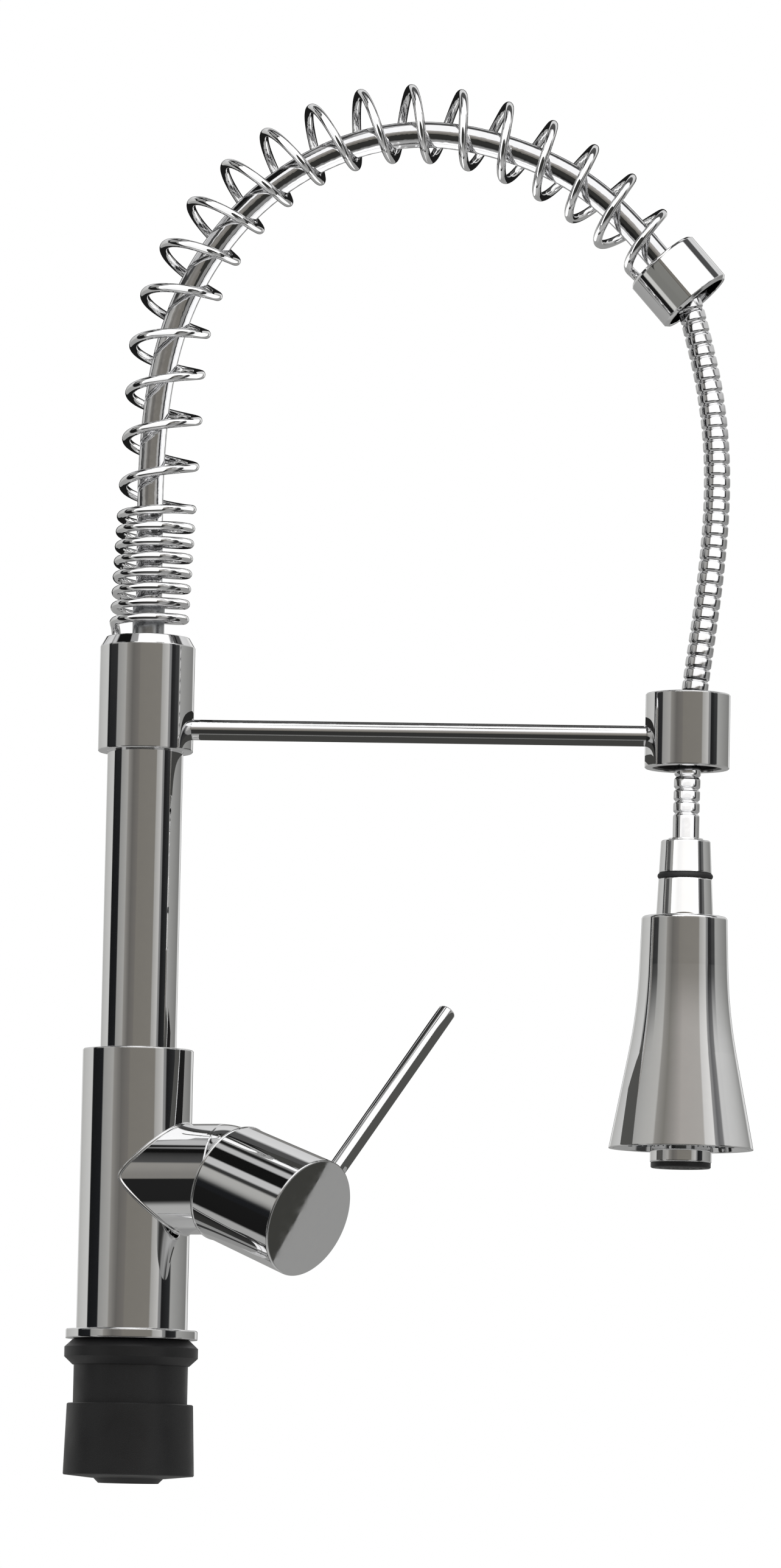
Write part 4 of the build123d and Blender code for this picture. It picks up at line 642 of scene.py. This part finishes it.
def spring_tree():
    """A wire coiled round a centre line: close turns, a widening turn, then open turns."""
    tree, given, end = new_tree("spring_coil", (
        "Turns", "Close Turns", "Close Pitch", "Open Pitch", "Narrowing", "Start", "Coil Radius",
        "End Radius", "Wire Radius", "Bend Radius", "Points per Turn"))
    bend = given["Bend Radius"]
    foot = add(tree, "ShaderNodeMath", [
        bend, add(tree, "ShaderNodeMath", [given["Coil Radius"], 2 * pi], operation="MULTIPLY")],
        operation="DIVIDE")
    toe = add(tree, "ShaderNodeMath", [
        bend, add(tree, "ShaderNodeMath", [given["End Radius"], 2 * pi], operation="MULTIPLY")],
        operation="DIVIDE")
    # Each end's lead is a quarter circle and half as much again that runs straight
    lead_share = 1.5
    leads = add(tree, "ShaderNodeMath", [
        add(tree, "ShaderNodeMath", [foot, toe], operation="ADD"), lead_share, given["Turns"]],
        operation="MULTIPLY_ADD")
    count = add(tree, "ShaderNodeMath", [leads, given["Points per Turn"]], operation="MULTIPLY")
    line = add(tree, "GeometryNodeMeshLine", {"Count": count}, mode="OFFSET")
    raw = add(tree, "ShaderNodeMath", [
        add(tree, "ShaderNodeMath", [
            add(tree, "GeometryNodeInputIndex"), given["Points per Turn"]], operation="DIVIDE"),
        add(tree, "ShaderNodeMath", [foot, lead_share], operation="MULTIPLY")],
        operation="SUBTRACT")
    # The quarter circle takes the wire off its coil, and it drops along the centre line
    ahead = add(tree, "ShaderNodeMath", [
        add(tree, "ShaderNodeMath", [raw, -1.0], operation="MULTIPLY"), foot], operation="DIVIDE")
    past = add(tree, "ShaderNodeMath", [
        add(tree, "ShaderNodeMath", [raw, given["Turns"]], operation="SUBTRACT"), toe],
        operation="DIVIDE")
    slips, drops = [], []
    for over, span in ((ahead, foot), (past, toe)):
        bent = add(tree, "ShaderNodeMapRange", {"Value": over, "To Max": pi / 2})
        slips.append(add(tree, "ShaderNodeMath", [
            add(tree, "ShaderNodeMath", [bent], operation="SINE"), span], operation="MULTIPLY"))
        fall = add(tree, "ShaderNodeMath", [
            1.0, add(tree, "ShaderNodeMath", [bent], operation="COSINE")], operation="SUBTRACT")
        more = add(tree, "ShaderNodeMath", [
            add(tree, "ShaderNodeMath", [over, 1.0], operation="SUBTRACT"), 0.0],
            operation="MAXIMUM")
        drops.append(add(tree, "ShaderNodeMath", [
            add(tree, "ShaderNodeMath", [more, pi / 2, fall], operation="MULTIPLY_ADD"), bend],
            operation="MULTIPLY"))
    held = add(tree, "ShaderNodeMath", [
        add(tree, "ShaderNodeMath", [raw, 0.0], operation="MAXIMUM"), given["Turns"]],
        operation="MINIMUM")
    turn = add(tree, "ShaderNodeMath", [
        add(tree, "ShaderNodeMath", [held, slips[0]], operation="SUBTRACT"), slips[1]],
        operation="ADD")
    # Travel along the centre line
    close_part = add(tree, "ShaderNodeMath", [turn, given["Close Turns"]], operation="MINIMUM")
    wide_part = add(tree, "ShaderNodeMath", [
        turn, given["Close Turns"]], operation="SUBTRACT", use_clamp=True)
    open_part = add(tree, "ShaderNodeMath", [
        add(tree, "ShaderNodeMath", [
            add(tree, "ShaderNodeMath", [turn, given["Close Turns"]], operation="SUBTRACT"),
            1.0], operation="SUBTRACT"), 0.0], operation="MAXIMUM")
    run = add(tree, "ShaderNodeMath", [
        add(tree, "ShaderNodeMath", [close_part, wide_part], operation="ADD"),
        given["Close Pitch"], given["Start"]], operation="MULTIPLY_ADD")
    widening = add(tree, "ShaderNodeMath", [
        add(tree, "ShaderNodeMath", [given["Open Pitch"], given["Close Pitch"]],
            operation="SUBTRACT"), 0.5], operation="MULTIPLY")
    run = add(tree, "ShaderNodeMath", [
        add(tree, "ShaderNodeMath", [wide_part, wide_part], operation="MULTIPLY"), widening, run],
        operation="MULTIPLY_ADD")
    run = add(tree, "ShaderNodeMath", [open_part, given["Open Pitch"], run],
              operation="MULTIPLY_ADD")
    narrowing = add(tree, "ShaderNodeMath", [given["Narrowing"], -0.5], operation="MULTIPLY")
    run = add(tree, "ShaderNodeMath", [
        add(tree, "ShaderNodeMath", [open_part, open_part], operation="MULTIPLY"), narrowing,
        run], operation="MULTIPLY_ADD")
    middle = add(tree, "GeometryNodeSampleCurve", {
        "Curves": given["Geometry"], "Length": run}, mode="LENGTH", use_all_curves=True)
    along = middle.outputs["Tangent"]
    tx, _, tz = add(tree, "ShaderNodeSeparateXYZ", [along]).outputs
    outward = add(tree, "ShaderNodeCombineXYZ", [
        add(tree, "ShaderNodeMath", [tz, -1.0], operation="MULTIPLY"), 0.0, tx])
    sideways = add(tree, "ShaderNodeVectorMath", [along, outward], operation="CROSS_PRODUCT")
    left = add(tree, "ShaderNodeMath", [given["Turns"], turn], operation="SUBTRACT")
    radius = add(tree, "ShaderNodeMapRange", {
        "Value": left, "To Min": given["End Radius"], "To Max": given["Coil Radius"]})
    angle = add(tree, "ShaderNodeMath", [turn, 2 * pi], operation="MULTIPLY")
    place = middle.outputs["Position"]
    for wave, axis in (("COSINE", outward), ("SINE", sideways)):
        reach = add(tree, "ShaderNodeMath", [
            add(tree, "ShaderNodeMath", [angle], operation=wave), radius], operation="MULTIPLY")
        shift = add(tree, "ShaderNodeVectorMath", {0: axis, "Scale": reach}, operation="SCALE")
        place = add(tree, "ShaderNodeVectorMath", [place, shift], operation="ADD")
    lead = add(tree, "ShaderNodeMath", [drops[1], drops[0]], operation="SUBTRACT")
    shift = add(tree, "ShaderNodeVectorMath", {0: along, "Scale": lead}, operation="SCALE")
    place = add(tree, "ShaderNodeVectorMath", [place, shift], operation="ADD")
    coil = add(tree, "GeometryNodeSetPosition", {"Geometry": line, "Position": place})
    wire = add(tree, "GeometryNodeMeshToCurve", [coil])
    ring = add(tree, "GeometryNodeCurvePrimitiveCircle", {
        "Resolution": 20, "Radius": given["Wire Radius"]})
    solid = add(tree, "GeometryNodeCurveToMesh", {
        "Curve": wire, "Profile Curve": ring, "Fill Caps": True})
    end_tree(tree, solid, given, end)
    return tree


def make_arch_spring(finish):
    """The chrome spring over the arch hose, one wire from the collar to the ferrule."""
    points, length = spring_spine()
    close_turns, close_pitch, open_turns, end_share = 7, 6.7, 17.5, 0.913
    start, stop, end_radius = 5.75, 6.3, 12.9
    open_travel = length - stop - start - close_pitch * close_turns - close_pitch / 2
    open_pitch = open_travel / (1 / 2 + open_turns * (1 + end_share) / 2)
    spine = curve_piece("spring_spine", [points], "POLY")
    give_nodes(spine, spring_tree(), {
        "Turns": close_turns + 1 + open_turns, "Close Turns": float(close_turns),
        "Close Pitch": close_pitch * MM, "Open Pitch": open_pitch * MM,
        "Narrowing": open_pitch * (1 - end_share) / open_turns * MM, "Start": start * MM,
        "Coil Radius": 15.3 * MM, "End Radius": end_radius * MM, "Wire Radius": 2.0 * MM,
        "Bend Radius": 5.0 * MM, "Points per Turn": 64.0, "Finish": finish})
    spring = evaluated_mesh(spine, "coiled_spring")
    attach(spring, "spout")
    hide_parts("arch_spring")
    return spring


# Bright beads where the branch meets the body and round the lever hub's back rim, by the
# CAD's sizes in millimetres
BEAD_RADIUS = 0.8
BODY_RADIUS = 24.0
BRANCH_RADIUS = 23.85
BRANCH_HEIGHT = 69.2
BRANCH_REACH = 41.3
BRANCH_TURN = radians(-18.0)
LEVER_LIFT = radians(26.0)
LEVER_SIDE = radians(38.0)
HUB_RIM_RADIUS = 25.2
HUB_RIM_OFFSET = 5.6
UP = Vector((0, 0, 1))
BRANCH_WAY = Vector((cos(BRANCH_TURN), sin(BRANCH_TURN), 0))
BRANCH_SIDE = UP.cross(BRANCH_WAY)


def saddle_line(count):
    """The line in which the branch's bar leaves the round body."""
    line = []
    for step in range(count):
        angle = 2 * pi * step / count
        across = BRANCH_RADIUS * cos(angle)
        reach = (BODY_RADIUS ** 2 - across ** 2) ** 0.5
        line.append((BRANCH_WAY * reach + BRANCH_SIDE * across
                     + UP * (BRANCH_HEIGHT + BRANCH_RADIUS * sin(angle))) * MM)
    return line


def hub_rim_line(count):
    """The lever hub's back rim, round the lever's tilted axis."""
    rise = UP * cos(LEVER_SIDE) + BRANCH_SIDE * sin(LEVER_SIDE)
    way = BRANCH_WAY * cos(LEVER_LIFT) - rise * sin(LEVER_LIFT)
    over = BRANCH_WAY * sin(LEVER_LIFT) + rise * cos(LEVER_LIFT)
    across = way.cross(over)
    middle = UP * BRANCH_HEIGHT + BRANCH_WAY * BRANCH_REACH + way * HUB_RIM_OFFSET
    return [(middle + (over * cos(turn) + across * sin(turn)) * HUB_RIM_RADIUS) * MM
            for turn in (2 * pi * step / count for step in range(count))]


def bead(name, line, body, finish):
    """A thin closed bead of chrome along a line, fixed to one body."""
    route = curve_piece(name, [line], "POLY")
    route.data.splines[0].use_cyclic_u = True
    route.data.bevel_depth = BEAD_RADIUS * MM
    route.data.bevel_resolution = 3
    route.data.materials.append(finish)
    piece = evaluated_mesh(route, name)
    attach(piece, body)


# Fittings of brass that the real faucet has plated where they show
PLATED = ("hose_end_fitting", "hose_coupling", "hose_connector", "outlet_nipple")

FINISHES = (
    polished_chrome, chrome_spring_wire, raw_brass, stainless_steel, black_plastic,
    white_acetal, grey_plastic, black_rubber, nozzle_rubber, ceramic, arch_hose_skin,
    ribbed_hose_skin)


def finish_solids(finishes):
    """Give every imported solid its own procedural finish."""
    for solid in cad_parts.values():
        for slot in solid.material_slots:
            name = slot.material.name.split(".")[0] if slot.material else ""
            if name in finishes:
                slot.material = finishes[name]
    for node in PLATED:
        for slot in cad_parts[node].material_slots:
            slot.material = finishes["polished_chrome"]


studio_camera()
finishes = {make.__name__: make() for make in FINISHES}
free_hose = make_free_hose(finishes["ribbed_hose_skin"])
arch_spring = make_arch_spring(finishes["chrome_spring_wire"])
bead("saddle_bead", saddle_line(count=160), "valve_body", finishes["polished_chrome"])
bead("hub_rim_bead", hub_rim_line(count=120), "lever", finishes["polished_chrome"])
finish_solids(finishes)
studio_world()
cards(free_hose, arch_spring)
studio_floor()
soft_lamp("key_lamp", place=(-1.4, -2.0, 1.6), target=(0.1, 0, 0.2), size=1.6, power=14.0)
soft_lamp("fill_lamp", place=(1.8, -1.2, 0.6), target=(0.1, 0, 0.2), size=1.4, power=5.0)
